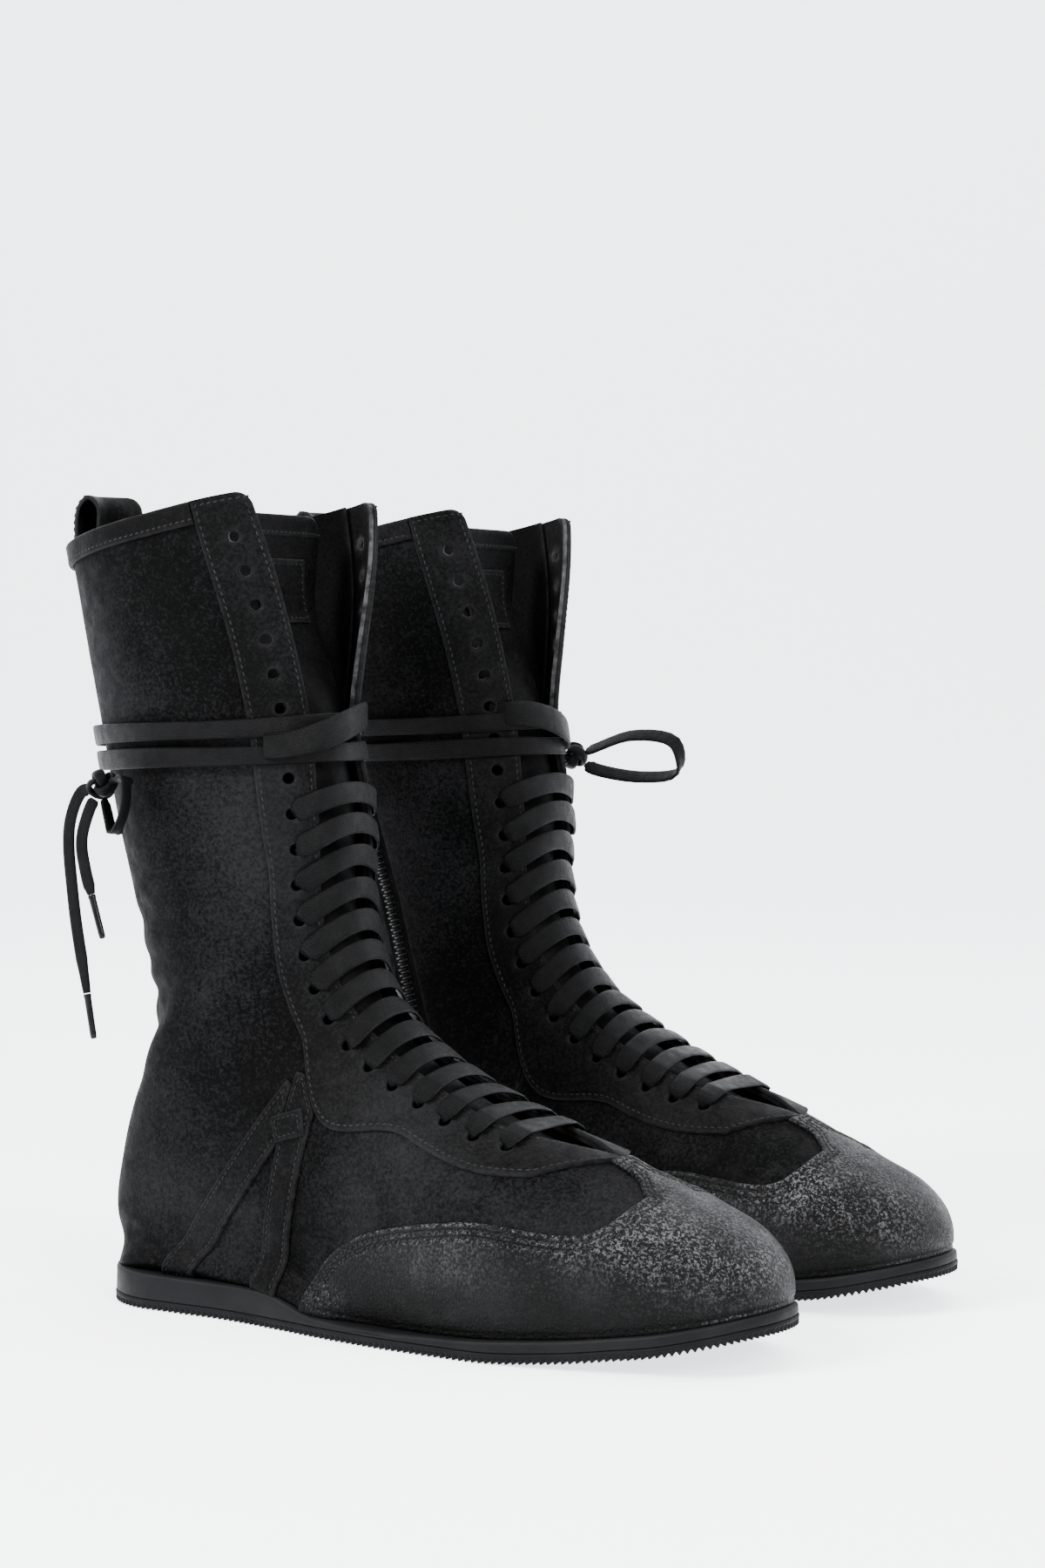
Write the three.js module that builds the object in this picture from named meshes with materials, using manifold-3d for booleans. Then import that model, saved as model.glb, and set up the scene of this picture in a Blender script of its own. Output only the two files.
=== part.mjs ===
import * as THREE from 'three';
import Module from 'manifold-3d';

const wasm = await Module();
wasm.setup();

// Millimetres. Each boot is built in its own frame: x from the back of the sole to the toe,
// +y to the inner side of the foot, z up from the ground. The left boot is the mirror image.
const BOOT_LENGTH = 297;
// A longer or shorter boot changes between the ankle and the toe, from the last's own length
const LAST_LENGTH = 297;
const ANKLE_X = 130;
const footX = (x) => x + (BOOT_LENGTH - LAST_LENGTH)
  * Math.min(1, Math.max(0, (x - ANKLE_X) / (LAST_LENGTH - ANKLE_X)));
const PAIR_SPACING = 143.7;
const GAP = 0.3;

// Leather layers, as distances outward from the outer face of the upper
const UPPER = [-1.3, 0];
const STIFFENER = [-2.7, -1.6];
const LINING = [-4.0, -3.0];
const OVERLAY = [0.3, 1.9];
const WRAP = [2.3, 4.1];
const TAB = [2.3, 3.5];

// Eyelet strips and lacing
const STRIP_WIDTH = 24;
const LOBE_EXTRA = 15;
const LOBE_HEIGHT = 116;
const EYELET_INSET = 10.8;
const TOP_EYELET_BELOW_EDGE = 16.5;
const FIRST_EYELET_FROM_TIP = 36;
const EYELET_COUNT = 22;
const EYELET_RADIUS = 2.4;
const LACED_COUNT = 14;
const LACE_WIDTH = 8.5;
const BAR = [2.9, 4.3];
const LEG_RADIUS = 1.5;
const TURN_HEIGHT = 209;
const TURN_GAP = 0.5;
const UNDERLAP = 16;
const TAIL_RADIUS = 1.9;
const TIP_LENGTH = 18;

// Collar, loop, straps
const COLLAR_HEIGHT = 9;
const TONGUE_HALF_WIDTH = 25;
const TONGUE_SET_BACK = 22;
const TONGUE_BELOW_COLLAR = 13;
const LOOP_WIDTH = 27;
const LOOP_HEIGHT = 25;
const LOOP_THICK = 2.2;
const STRAP_WIDTH = 13;

// Zip on the inner side: a straight line from its lower to its upper end
const ZIP_LOW = { x: 71, z: 62 };
const ZIP_TOP = { x: 13, z: 284 };
const ZIP_TAPE_WIDTH = 13;
const ZIP_COIL_WIDTH = 5;
const PULLER_LENGTH = 16;

// Sole
const OUTSOLE_THICK = 4;
const COUNTER_LENGTH = 62;
const HEEL_RADIUS = 36;
const TOE_RADIUS = 42;

// Sections of the upper from the toe to the collar. Each one runs from the front or top (fx, fz)
// to the bottom or back (kx, kz), with its middle at y = c, half widths out (wl) and in (wm),
// squareness at the front (nf) and back (nb), and the half width g of the throat along the skin.
const LAST_SECTIONS = [
  { fx: 293.0, fz: 28, kx: 293, kz: 28, c: 6, wl: 0.0, wm: 0.0, nf: 2.0, nb: 2.0, g: 0.2 },
  { fx: 290.5, fz: 35, kx: 291, kz: 18, c: 6, wl: 14, wm: 14, nf: 2.0, nb: 2.4, g: 0.2 },
  { fx: 285.0, fz: 42, kx: 286, kz: 12, c: 6, wl: 24, wm: 24, nf: 2.0, nb: 2.8, g: 0.2 },
  { fx: 275.0, fz: 49, kx: 275, kz: 7, c: 6, wl: 33, wm: 33, nf: 2.1, nb: 3.2, g: 0.2 },
  { fx: 259.0, fz: 56, kx: 260, kz: 3, c: 6, wl: 38, wm: 38, nf: 2.1, nb: 3.4, g: 0.2 },
  { fx: 229.0, fz: 70, kx: 225, kz: -2, c: 3, wl: 43, wm: 41, nf: 2.1, nb: 3.4, g: 0.2 },
  { fx: 214.0, fz: 75, kx: 208, kz: -3, c: 1, wl: 44, wm: 42, nf: 2.1, nb: 3.4, g: 8.0 },
  { fx: 197.0, fz: 80, kx: 188, kz: -4, c: 0, wl: 44, wm: 41, nf: 2.1, nb: 3.4, g: 14 },
  { fx: 157.0, fz: 99, kx: 134, kz: -3, c: 0, wl: 40, wm: 32, nf: 2.1, nb: 3.2, g: 16.5 },
  { fx: 129.0, fz: 121, kx: 78, kz: 5, c: 0, wl: 33.5, wm: 29.5, nf: 2.1, nb: 2.8, g: 17 },
  { fx: 120.5, fz: 133, kx: 45, kz: 6, c: 0, wl: 33, wm: 30.5, nf: 2.1, nb: 2.6, g: 17.5 },
  { fx: 115.0, fz: 145, kx: 14, kz: 7, c: 0, wl: 33.5, wm: 32, nf: 2.1, nb: 2.4, g: 17.5 },
  { fx: 112.0, fz: 156, kx: -1.5, kz: 26, c: 0, wl: 34, wm: 33, nf: 2.1, nb: 2.2, g: 17.5 },
  { fx: 110.5, fz: 167, kx: 1, kz: 50, c: 0, wl: 34, wm: 33.5, nf: 2.1, nb: 2.1, g: 17.5 },
  { fx: 109.5, fz: 179, kx: 9, kz: 76, c: 0, wl: 34.5, wm: 34, nf: 2.1, nb: 2.0, g: 17.5 },
  { fx: 109.0, fz: 191, kx: 19.5, kz: 104, c: 0, wl: 35.5, wm: 35, nf: 2.1, nb: 2.0, g: 17.5 },
  { fx: 107.5, fz: 204, kx: 14, kz: 136, c: 0, wl: 37, wm: 36.5, nf: 2.1, nb: 2.0, g: 17.2 },
  { fx: 102.0, fz: 236, kx: -4, kz: 208, c: 0, wl: 41, wm: 40.5, nf: 2.1, nb: 2.0, g: 16 },
  { fx: 101.0, fz: 262, kx: -11, kz: 242, c: 0, wl: 43.5, wm: 43, nf: 2.7, nb: 2.0, g: 23 },
  { fx: 98.5, fz: 321, kx: -23.5, kz: 299, c: 0, wl: 48, wm: 47.5, nf: 4.2, nb: 2.0, g: 43 },
];
const SECTIONS = LAST_SECTIONS.map((k) => ({ ...k, fx: footX(k.fx), kx: footX(k.kx) }));
const LAST = SECTIONS.length - 1;
const COLUMNS = 14;
const PAST_COLLAR = LAST + 0.25;

const clamp = (t, a, b) => Math.min(b, Math.max(a, t));
const lerp = (a, b, t) => a + (b - a) * t;
const signedPower = (t, e) => Math.sign(t) * Math.abs(t) ** e;
const smooth = (t) => clamp(t, 0, 1) ** 2 * (3 - 2 * clamp(t, 0, 1));

function between(table, x) {
  const i = clamp(table.findIndex((p) => p[0] > x) - 1, 0, table.length - 2);
  const j = x >= table[table.length - 1][0] ? table.length - 2 : i;
  const t = clamp((x - table[j][0]) / (table[j + 1][0] - table[j][0]), 0, 1);
  return lerp(table[j][1], table[j + 1][1], t);
}

// ---- the skin of the upper ----

function skinVertex(i, v) {
  const k = SECTIONS[i];
  const n = Math.cos(v) > 0 ? k.nf : k.nb;
  const along = signedPower(Math.cos(v), 2 / n);
  const across = signedPower(Math.sin(v), 2 / n);
  return new THREE.Vector3(
    (k.fx + k.kx) / 2 + ((k.fx - k.kx) / 2) * along,
    k.c + across * (across > 0 ? k.wm : k.wl),
    (k.fz + k.kz) / 2 + ((k.fz - k.kz) / 2) * along,
  );
}

const angle = (j) => ((j - COLUMNS / 2) / COLUMNS) * 2 * Math.PI;

function skinNormal(i, j) {
  if (i === 0) return new THREE.Vector3(1, 0, 0);
  const step = 0.05;
  const v = angle(j);
  const across = skinVertex(i, v + step).sub(skinVertex(i, v - step));
  const along = skinVertex(Math.min(i + 1, LAST), v).sub(skinVertex(i - 1, v));
  return across.cross(along).normalize();
}

const skinRows = SECTIONS.map((_, i) =>
  Array.from({ length: COLUMNS }, (_, j) => ({
    point: skinVertex(i, angle(j)),
    normal: skinNormal(i, j),
  })),
);
{
  const side = skinRows[LAST][Math.round(COLUMNS / 4)];
  if (side.normal.y * side.point.y < 0) {
    for (const cell of skinRows.slice(1).flat()) cell.normal.negate();
  }
}

const latticePoint = (i, j, off) => {
  const cell = skinRows[i][((j % COLUMNS) + COLUMNS) % COLUMNS];
  return cell.point.clone().addScaledVector(cell.normal, off);
};

// A point on the skin: s counts sections from the toe, v is the angle round from the front
function skin(s, v, off = 0) {
  const i = clamp(Math.floor(s), 0, LAST - 1);
  const col = (v / (2 * Math.PI)) * COLUMNS + COLUMNS / 2;
  const j = Math.floor(col);
  const low = latticePoint(i, j, off).lerp(latticePoint(i, j + 1, off), col - j);
  const high = latticePoint(i + 1, j, off).lerp(latticePoint(i + 1, j + 1, off), col - j);
  return low.lerp(high, Math.max(0, s - i));
}

// From a to b, stopping at every whole multiple of step on the way
function stops(a, b, step) {
  const list = [a];
  const [low, high] = a < b ? [a, b] : [b, a];
  const inside = [];
  for (let k = Math.ceil(low / step); k * step < high; k += 1) {
    if (k * step - low > step * 0.12 && high - k * step > step * 0.12) inside.push(k * step);
  }
  if (a > b) inside.reverse();
  return [...list, ...inside, b];
}
const COLUMN_ANGLE = (2 * Math.PI) / COLUMNS;

function channel(name, s) {
  const i = clamp(Math.floor(s), 0, LAST - 1);
  return lerp(SECTIONS[i][name], SECTIONS[i + 1][name], clamp(s - i, 0, 1));
}

// The angle at a distance along the skin from the front line
function angleAt(s, distance) {
  const step = Math.PI / 90;
  let gone = 0;
  let v = 0;
  let last = skin(s, 0);
  while (v < Math.PI) {
    const next = skin(s, v + step);
    const piece = next.distanceTo(last);
    if (gone + piece >= distance) return v + (step * (distance - gone)) / piece;
    gone += piece;
    v += step;
    last = next;
  }
  return Math.PI;
}

// The section number where the front line passes x
function sectionAt(x) {
  let s = 0;
  while (s < LAST && skin(s, 0).x > x) s += 0.02;
  return s;
}

// The section number where the front line reaches height z
function atHeight(z) {
  let s = 0;
  while (s < LAST && channel('fz', s) < z) s += 0.01;
  return Math.min(s, LAST);
}

// ---- solids ----

function solidFrom(points, faces) {
  const index = new Map();
  const positions = [];
  const ids = points.map((p) => {
    const key = [p.x, p.y, p.z].map((t) => Math.round(t * 1e4)).join();
    if (!index.has(key)) {
      index.set(key, positions.length / 3);
      positions.push(p.x, p.y, p.z);
    }
    return index.get(key);
  });
  const triangles = [];
  for (const face of faces) {
    for (let k = 1; k < face.length - 1; k += 1) {
      const [a, b, c] = [ids[face[0]], ids[face[k]], ids[face[k + 1]]];
      if (a !== b && b !== c && a !== c) triangles.push(a, b, c);
    }
  }
  const volume = (list) => {
    let sum = 0;
    const at = (n) => new THREE.Vector3().fromArray(positions, n * 3);
    for (let k = 0; k < list.length; k += 3) {
      sum += at(list[k]).dot(at(list[k + 1]).cross(at(list[k + 2])));
    }
    return sum;
  };
  if (volume(triangles) < 0) {
    for (let k = 0; k < triangles.length; k += 3) {
      [triangles[k], triangles[k + 1]] = [triangles[k + 1], triangles[k]];
    }
  }
  return new wasm.Manifold(new wasm.Mesh({
    numProp: 3,
    vertProperties: Float32Array.from(positions),
    triVerts: Uint32Array.from(triangles),
  }));
}

// A closed slab over a grid: at(a, b, side) gives its inner (0) and outer (1) faces
function slab(rows, columns, at) {
  const points = [];
  const faces = [];
  const id = (a, b, side) => (a * (columns + 1) + b) * 2 + side;
  for (let a = 0; a <= rows; a += 1) {
    for (let b = 0; b <= columns; b += 1) points.push(at(a, b, 0), at(a, b, 1));
  }
  for (let a = 0; a < rows; a += 1) {
    for (let b = 0; b < columns; b += 1) {
      faces.push([id(a, b, 0), id(a + 1, b, 0), id(a + 1, b + 1, 0), id(a, b + 1, 0)]);
      faces.push([id(a, b, 1), id(a, b + 1, 1), id(a + 1, b + 1, 1), id(a + 1, b, 1)]);
    }
    faces.push([id(a, 0, 0), id(a, 0, 1), id(a + 1, 0, 1), id(a + 1, 0, 0)]);
    faces.push([id(a, columns, 0), id(a + 1, columns, 0), id(a + 1, columns, 1), id(a, columns, 1)]);
  }
  for (let b = 0; b < columns; b += 1) {
    faces.push([id(0, b, 0), id(0, b + 1, 0), id(0, b + 1, 1), id(0, b, 1)]);
    faces.push([id(rows, b, 0), id(rows, b, 1), id(rows, b + 1, 1), id(rows, b + 1, 0)]);
  }
  return solidFrom(points, faces);
}

// One whole layer of the upper, open at the collar
function layer([inner, outer]) {
  const points = [];
  const faces = [];
  const id = (i, j, side) => (i * COLUMNS + (j % COLUMNS)) * 2 + side;
  for (let i = 0; i <= LAST; i += 1) {
    for (let j = 0; j < COLUMNS; j += 1) {
      points.push(latticePoint(i, j, inner), latticePoint(i, j, outer));
    }
  }
  for (let j = 0; j < COLUMNS; j += 1) {
    for (let i = 0; i < LAST; i += 1) {
      faces.push([id(i, j, 0), id(i + 1, j, 0), id(i + 1, j + 1, 0), id(i, j + 1, 0)]);
      faces.push([id(i, j, 1), id(i, j + 1, 1), id(i + 1, j + 1, 1), id(i + 1, j, 1)]);
    }
    faces.push([id(LAST, j, 0), id(LAST, j, 1), id(LAST, j + 1, 1), id(LAST, j + 1, 0)]);
  }
  return solidFrom(points, faces);
}

// All that lies inside the skin at a distance
function inside(off) {
  const points = [];
  const faces = [];
  const id = (i, j) => i * COLUMNS + (j % COLUMNS);
  for (let i = 0; i <= LAST; i += 1) {
    for (let j = 0; j < COLUMNS; j += 1) points.push(latticePoint(i, j, off));
  }
  for (let j = 0; j < COLUMNS; j += 1) {
    for (let i = 0; i < LAST; i += 1) faces.push([id(i, j), id(i + 1, j), id(i + 1, j + 1), id(i, j + 1)]);
  }
  faces.push(Array.from({ length: COLUMNS }, (_, j) => id(LAST, COLUMNS - 1 - j)));
  return solidFrom(points, faces);
}

// A through-cutter over a band of the skin between two angles
function band(s0, s1, low, high, reach = [-6, 5], columns = 3) {
  const rows = stops(s0, s1, 1);
  return slab(rows.length - 1, columns, (a, b, side) =>
    skin(rows[a], lerp(low(rows[a]), high(rows[a]), b / columns), reach[side]));
}

function fromGeometry(geometry) {
  const flat = geometry.index ? geometry.toNonIndexed() : geometry;
  const p = flat.attributes.position;
  const points = [];
  const faces = [];
  for (let i = 0; i < p.count; i += 1) points.push(new THREE.Vector3().fromBufferAttribute(p, i));
  for (let i = 0; i < p.count; i += 3) faces.push([i, i + 1, i + 2]);
  return solidFrom(points, faces);
}

// A side-view outline of [x, z] points, run across from y0 to y1
function sidePrism(outline, y0, y1) {
  const shape = new THREE.Shape(outline.map(([x, z]) => new THREE.Vector2(x, z)));
  const geometry = new THREE.ExtrudeGeometry(shape, { depth: y1 - y0, bevelEnabled: false });
  geometry.rotateX(Math.PI / 2);
  geometry.translate(0, y1, 0);
  return fromGeometry(geometry);
}

function box(x0, x1, y0, y1, z0, z1) {
  return sidePrism([[x0, z0], [x1, z0], [x1, z1], [x0, z1]], y0, y1);
}

// A box along a line, with its width and thickness directions given
function bar(from, to, width, thickness, widthDirection) {
  const along = to.clone().sub(from).normalize();
  const out = widthDirection.clone().cross(along).normalize();
  const wide = along.clone().cross(out).normalize();
  return slab(1, 1, (a, b, side) => (a ? to : from).clone()
    .addScaledVector(wide, (b - 0.5) * width)
    .addScaledVector(out, (side - 0.5) * thickness));
}

function tube(points, radius, sides = 8, steps = 11) {
  const circle = new THREE.Shape();
  for (let k = 0; k < sides; k += 1) {
    const t = (k / sides) * 2 * Math.PI;
    if (k) circle.lineTo(radius * Math.cos(t), radius * Math.sin(t));
    else circle.moveTo(radius, 0);
  }
  circle.closePath();
  const extrudePath = new THREE.CatmullRomCurve3(points.map((p) => new THREE.Vector3(...p)));
  return fromGeometry(new THREE.ExtrudeGeometry(circle, { steps, extrudePath, curveSegments: 1 }));
}

const cut = (solid, ...tools) => tools.reduce((s, t) => s.subtract(t), solid);
const join = (...solids) => solids.reduce((s, t) => s.add(t));

// ---- sole ----

const onFoot = (table) => table.map(([x, size]) => [footX(x), size]);
const OUTER_WIDTH = onFoot([[0, 36], [36, 36.5], [75, 36], [102, 39.7], [125, 43.8], [154, 47], [197, 48.5],
  [222, 47.5], [255, 42], [297, 42]]);
const INNER_WIDTH = onFoot([[0, 33], [36, 33], [75, 31.5], [102, 32], [125, 34], [154, 40], [197, 44.5],
  [222, 44.5], [255, 42], [297, 42]]);
const MIDDLE = onFoot([[0, 0], [154, 0], [197, 1], [222, 3.5], [255, 6], [297, 6]]);
const SOLE_BOTTOM = onFoot([[0, 0], [205, 0], [235, 2.6], [266, 7], [290, 12.2], [297, 14]]);
const SOLE_TOP = onFoot([[0, 14], [96, 13.4], [118, 7], [150, 6], [196, 7.6], [235, 10.8], [266, 15.2],
  [290, 20], [297, 21.8]]);

function soleEdge(x, inset, table) {
  const heel = x - inset < HEEL_RADIUS
    ? Math.sqrt(Math.max(0, 1 - ((HEEL_RADIUS - x) / (HEEL_RADIUS - inset)) ** 2)) : 1;
  const start = BOOT_LENGTH - TOE_RADIUS;
  const toe = x > start
    ? Math.sqrt(Math.max(0, 1 - ((x - start) / (TOE_RADIUS - inset)) ** 2)) : 1;
  return (between(table, x) - inset) * Math.min(heel, toe);
}

function soleSlab(inset, bottom, top) {
  const even = Array.from({ length: 21 }, (_, k) =>
    lerp(inset, BOOT_LENGTH - inset, (1 - Math.cos((Math.PI * k) / 20)) / 2));
  const corners = SOLE_TOP.map((p) => p[0]).filter((x) => x > 40 && x < 290);
  const near = (x) => corners.some((c) => Math.abs(c - x) < 6);
  const xs = [...even.filter((x) => !near(x)), ...corners].sort((a, b) => a - b);
  return slab(xs.length - 1, 1, (a, b, side) => {
    const x = xs[a];
    const y0 = between(MIDDLE, x) - soleEdge(x, inset, OUTER_WIDTH);
    const y1 = between(MIDDLE, x) + soleEdge(x, inset, INNER_WIDTH);
    return new THREE.Vector3(x, b ? y1 : y0, side ? top(x) : bottom(x));
  });
}

const soleBottom = (x) => between(SOLE_BOTTOM, x);
const soleTop = (x) => between(SOLE_TOP, x);
const CUT_STOPS = [-30, ...SOLE_TOP.slice(1).map((p) => p[0]), BOOT_LENGTH + 20];
const belowSole = slab(CUT_STOPS.length - 1, 1, (a, b, side) => {
  const x = CUT_STOPS[a];
  return new THREE.Vector3(x, b ? 90 : -90, side ? soleTop(x) + GAP + 0.4 : -60);
});

// ---- one boot, right foot ----

function rightBoot() {
  const pieces = new Map();
  const put = (name, solid, look) => pieces.set(name, { solid, look });

  const tipX = footX(231);
  const tip = sectionAt(tipX);
  const throatTip = sectionAt(footX(221));
  const throat = (s) => channel('g', s);
  const lobe = (s) => LOBE_EXTRA * smooth(1 - Math.abs(channel('fz', s) - LOBE_HEIGHT) / 20);
  const stripFront = (s) => throat(s);
  const roundIn = (s) => Math.sqrt(clamp((s - tip) / 1.2, 0.02, 1));
  const stripBack = (s) => throat(s) + (STRIP_WIDTH + lobe(s)) * roundIn(s);
  const underEdge = (s) => throat(s) + UNDERLAP * clamp((s - throatTip) / 0.8, 0.35, 1);
  const at = (distance) => (s) => angleAt(s, distance(s));
  const minus = (f) => (s) => -f(s);

  // Cutters
  const openThroat = band(throatTip, PAST_COLLAR, minus(at(underEdge)), at(underEdge), [-6, 5], 6);
  const zip = zipParts();
  const seam = [[88, -20], [112, 88], [134, 135]];
  const vampSide = sidePrism([...seam, [BOOT_LENGTH + 33, 135], [BOOT_LENGTH + 33, -20]], -90, 90);
  const shaftSide = sidePrism(
    [...seam.map(([x, z]) => [x - GAP, z]), [134, 360], [-60, 360], [-60, -20]], -90, 90);

  // Upper
  const upper = cut(layer(UPPER), belowSole, openThroat);
  put('vamp', upper.intersect(vampSide), 'suede');
  const shaft = upper.intersect(shaftSide);
  put('quarter_outer', shaft.intersect(box(-60, 150, -90, -GAP / 2, -20, 360)), 'suede');
  put('quarter_inner', cut(shaft.intersect(box(-60, 150, GAP / 2, 90, -20, 360)), zip.slot), 'suede');
  put('lining', cut(layer(LINING), belowSole, openThroat, zip.slot), 'lining');
  const stiffener = cut(layer(STIFFENER), belowSole, openThroat, zip.slot);
  put('toe_puff', stiffener.intersect(box(footX(250), BOOT_LENGTH + 33, -90, 90, -20, 120)), 'board');
  put('heel_counter', stiffener.intersect(box(-60, COUNTER_LENGTH, -90, 90, -20, 58)), 'board');

  // Toe cap with its centre strip
  const overlay = layer(OVERLAY);
  const capEdge = onFoot([[112, 0], [116, 18], [122, 27], [136, 37], [158, 45.5], [190, 49.5],
    [236, 47], [247, 47]]);
  const windowOutline = [...capEdge, [footX(247), 120], [60, 120], [60, 0]];
  const capStrip = box(tipX + 1, footX(260), -9, 9, 40, 110);
  const capWindow = cut(sidePrism(windowOutline, -90, 90), capStrip);
  const capFront = box(100, BOOT_LENGTH + 33, -90, 90, -20, 120);
  put('toe_cap', cut(overlay.intersect(capFront), belowSole, capWindow), 'waxed');

  // Eyelet strips
  const pitchLine = [];
  for (let s = tip; s < LAST; s += 0.05) pitchLine.push(s);
  const eyePoint = (s, side) => skin(s, side * angleAt(s, throat(s) + EYELET_INSET));
  const reach = [0];
  for (let k = 1; k < pitchLine.length; k += 1) {
    reach.push(reach[k - 1] + eyePoint(pitchLine[k], 1).distanceTo(eyePoint(pitchLine[k - 1], 1)));
  }
  const firstEye = FIRST_EYELET_FROM_TIP;
  const lastEye = reach[reach.length - 1] - TOP_EYELET_BELOW_EDGE;
  const eyes = Array.from({ length: EYELET_COUNT }, (_, k) => {
    const want = lerp(firstEye, lastEye, k / (EYELET_COUNT - 1));
    return pitchLine[reach.findIndex((r) => r >= want)];
  });
  const skinFrame = (s, v) => {
    const out = skin(s, v, 2).sub(skin(s, v, -2)).normalize();
    return { out, point: skin(s, v) };
  };
  const peg = (s, side, radius, from, to, sides) => {
    const { out, point } = skinFrame(s, side * angleAt(s, throat(s) + EYELET_INSET));
    const geometry = new THREE.CylinderGeometry(radius, radius, to - from, sides);
    geometry.applyQuaternion(new THREE.Quaternion().setFromUnitVectors(new THREE.Vector3(0, 1, 0), out));
    const middle = point.addScaledVector(out, (from + to) / 2);
    geometry.translate(middle.x, middle.y, middle.z);
    return fromGeometry(geometry);
  };
  const stripSolid = (side) => {
    const region = band(
      tip, PAST_COLLAR,
      (s) => side * angleAt(s, Math.max(0.15, stripFront(s))),
      (s) => side * angleAt(s, stripBack(s)), [-1, 5]);
    const holes = eyes.map((s) => peg(s, side, EYELET_RADIUS, -1, 4, 5));
    return cut(overlay.intersect(region), ...holes);
  };
  put('eyelet_strip_outer', stripSolid(-1), 'suede');
  put('eyelet_strip_inner', stripSolid(1), 'suede');

  // Collar band, between the rear edges of the strips
  const collarLow = atHeight(SECTIONS[LAST].fz - COLLAR_HEIGHT);
  const collar = band(
    collarLow, PAST_COLLAR, at((s) => stripBack(s) + GAP),
    (s) => 2 * Math.PI - angleAt(s, stripBack(s) + GAP), [-1, 5], 14);
  put('collar_band', overlay.intersect(collar), 'suede');

  // Ankle straps on the outer side, with the tab over their top ends
  const strap = (top, foot, width) => {
    const dx = foot[0] - top[0];
    const dz = foot[1] - top[1];
    const long = Math.hypot(dx, dz);
    const nx = (-dz / long) * (width / 2);
    const nz = (dx / long) * (width / 2);
    return [[top[0] + nx, top[1] + nz], [foot[0] + nx, foot[1] + nz],
      [foot[0] - nx, foot[1] - nz], [top[0] - nx, top[1] - nz]];
  };
  const outerStrip = (grow) => band(
    tip, PAST_COLLAR, (s) => -angleAt(s, Math.max(0.15, stripFront(s) - grow)),
    (s) => -angleAt(s, stripBack(s) + grow), [-1, 6]);
  const clearOfStrip = outerStrip(0.5);
  const rearStrap = sidePrism(strap([106, 90], [36, 2], STRAP_WIDTH), -90, 0);
  const frontStrap = sidePrism(strap([111, 96], [91, 2], STRAP_WIDTH), -90, 0);
  const apart = sidePrism(strap([111, 96], [91, 2], STRAP_WIDTH + 2 * GAP), -90, 0);
  put('ankle_strap_rear', cut(overlay.intersect(rearStrap), belowSole, clearOfStrip, apart), 'suede');
  put('ankle_strap_front', cut(overlay.intersect(frontStrap), belowSole, clearOfStrip), 'suede');
  const tabSide = sidePrism([[99, 70], [113, 74], [110, 84], [96, 80]], -90, 0);
  put('strap_tab', layer(TAB).intersect(tabSide), 'suede');

  // Sole unit
  put('outsole', soleSlab(0, soleBottom, (x) => soleBottom(x) + OUTSOLE_THICK), 'rubber');
  put('midsole', soleSlab(1, (x) => soleBottom(x) + OUTSOLE_THICK + GAP, soleTop), 'rubber_dark');
  const cavity = inside(LINING[0] - GAP);
  const floorPiece = (low, high) => soleSlab(3, (x) => soleTop(x) + low, (x) => soleTop(x) + high)
    .intersect(cavity);
  put('insole_board', floorPiece(GAP, 2.4), 'board');
  put('sockliner', floorPiece(2.4 + GAP, 5), 'lining');

  // Tongue, set back from the strips where they stand open
  const setBack = (s) => TONGUE_SET_BACK * smooth((channel('fz', s) - 229) / 60);
  const inward = (s) => {
    const at = (name) => channel(name, s);
    return new THREE.Vector3(at('kx') - at('fx'), 0, at('kz') - at('fz')).normalize();
  };
  const tonguePoint = (s, v, off) => skin(s, v, off).addScaledVector(inward(s), setBack(s));
  const onFifth = (z) => Math.round(atHeight(z) * 5) / 5;
  const tonguePatch = (s0, s1, share, inner, outer) => {
    const open = Math.floor(atHeight(236));
    const rows = s0 < open ? [...stops(s0, open, 1), ...stops(open, s1, 0.2).slice(1)] : stops(s0, s1, 0.2);
    const wide = (s) => share * angleAt(s, TONGUE_HALF_WIDTH);
    return slab(rows.length - 1, 4, (a, b, side) =>
      tonguePoint(rows[a], lerp(-1, 1, b / 4) * wide(rows[a]), side ? outer : inner));
  };
  const tongueHeight = SECTIONS[LAST].fz - TONGUE_BELOW_COLLAR;
  const tongueTop = atHeight(tongueHeight);
  const tongueBody = tonguePatch(throatTip + 0.75, tongueTop, 1, -6.4, -4.9);
  const tongueBinding = tonguePatch(atHeight(tongueHeight - 8), tongueTop, 1, -6.8, -4.5);
  put('tongue', join(tongueBody, tongueBinding), 'leather');
  const patchRows = [onFifth(tongueHeight - 44), onFifth(tongueHeight - 18)];
  put('tongue_patch', tonguePatch(...patchRows, 0.6, -4.2, -3.5), 'leather');

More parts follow.
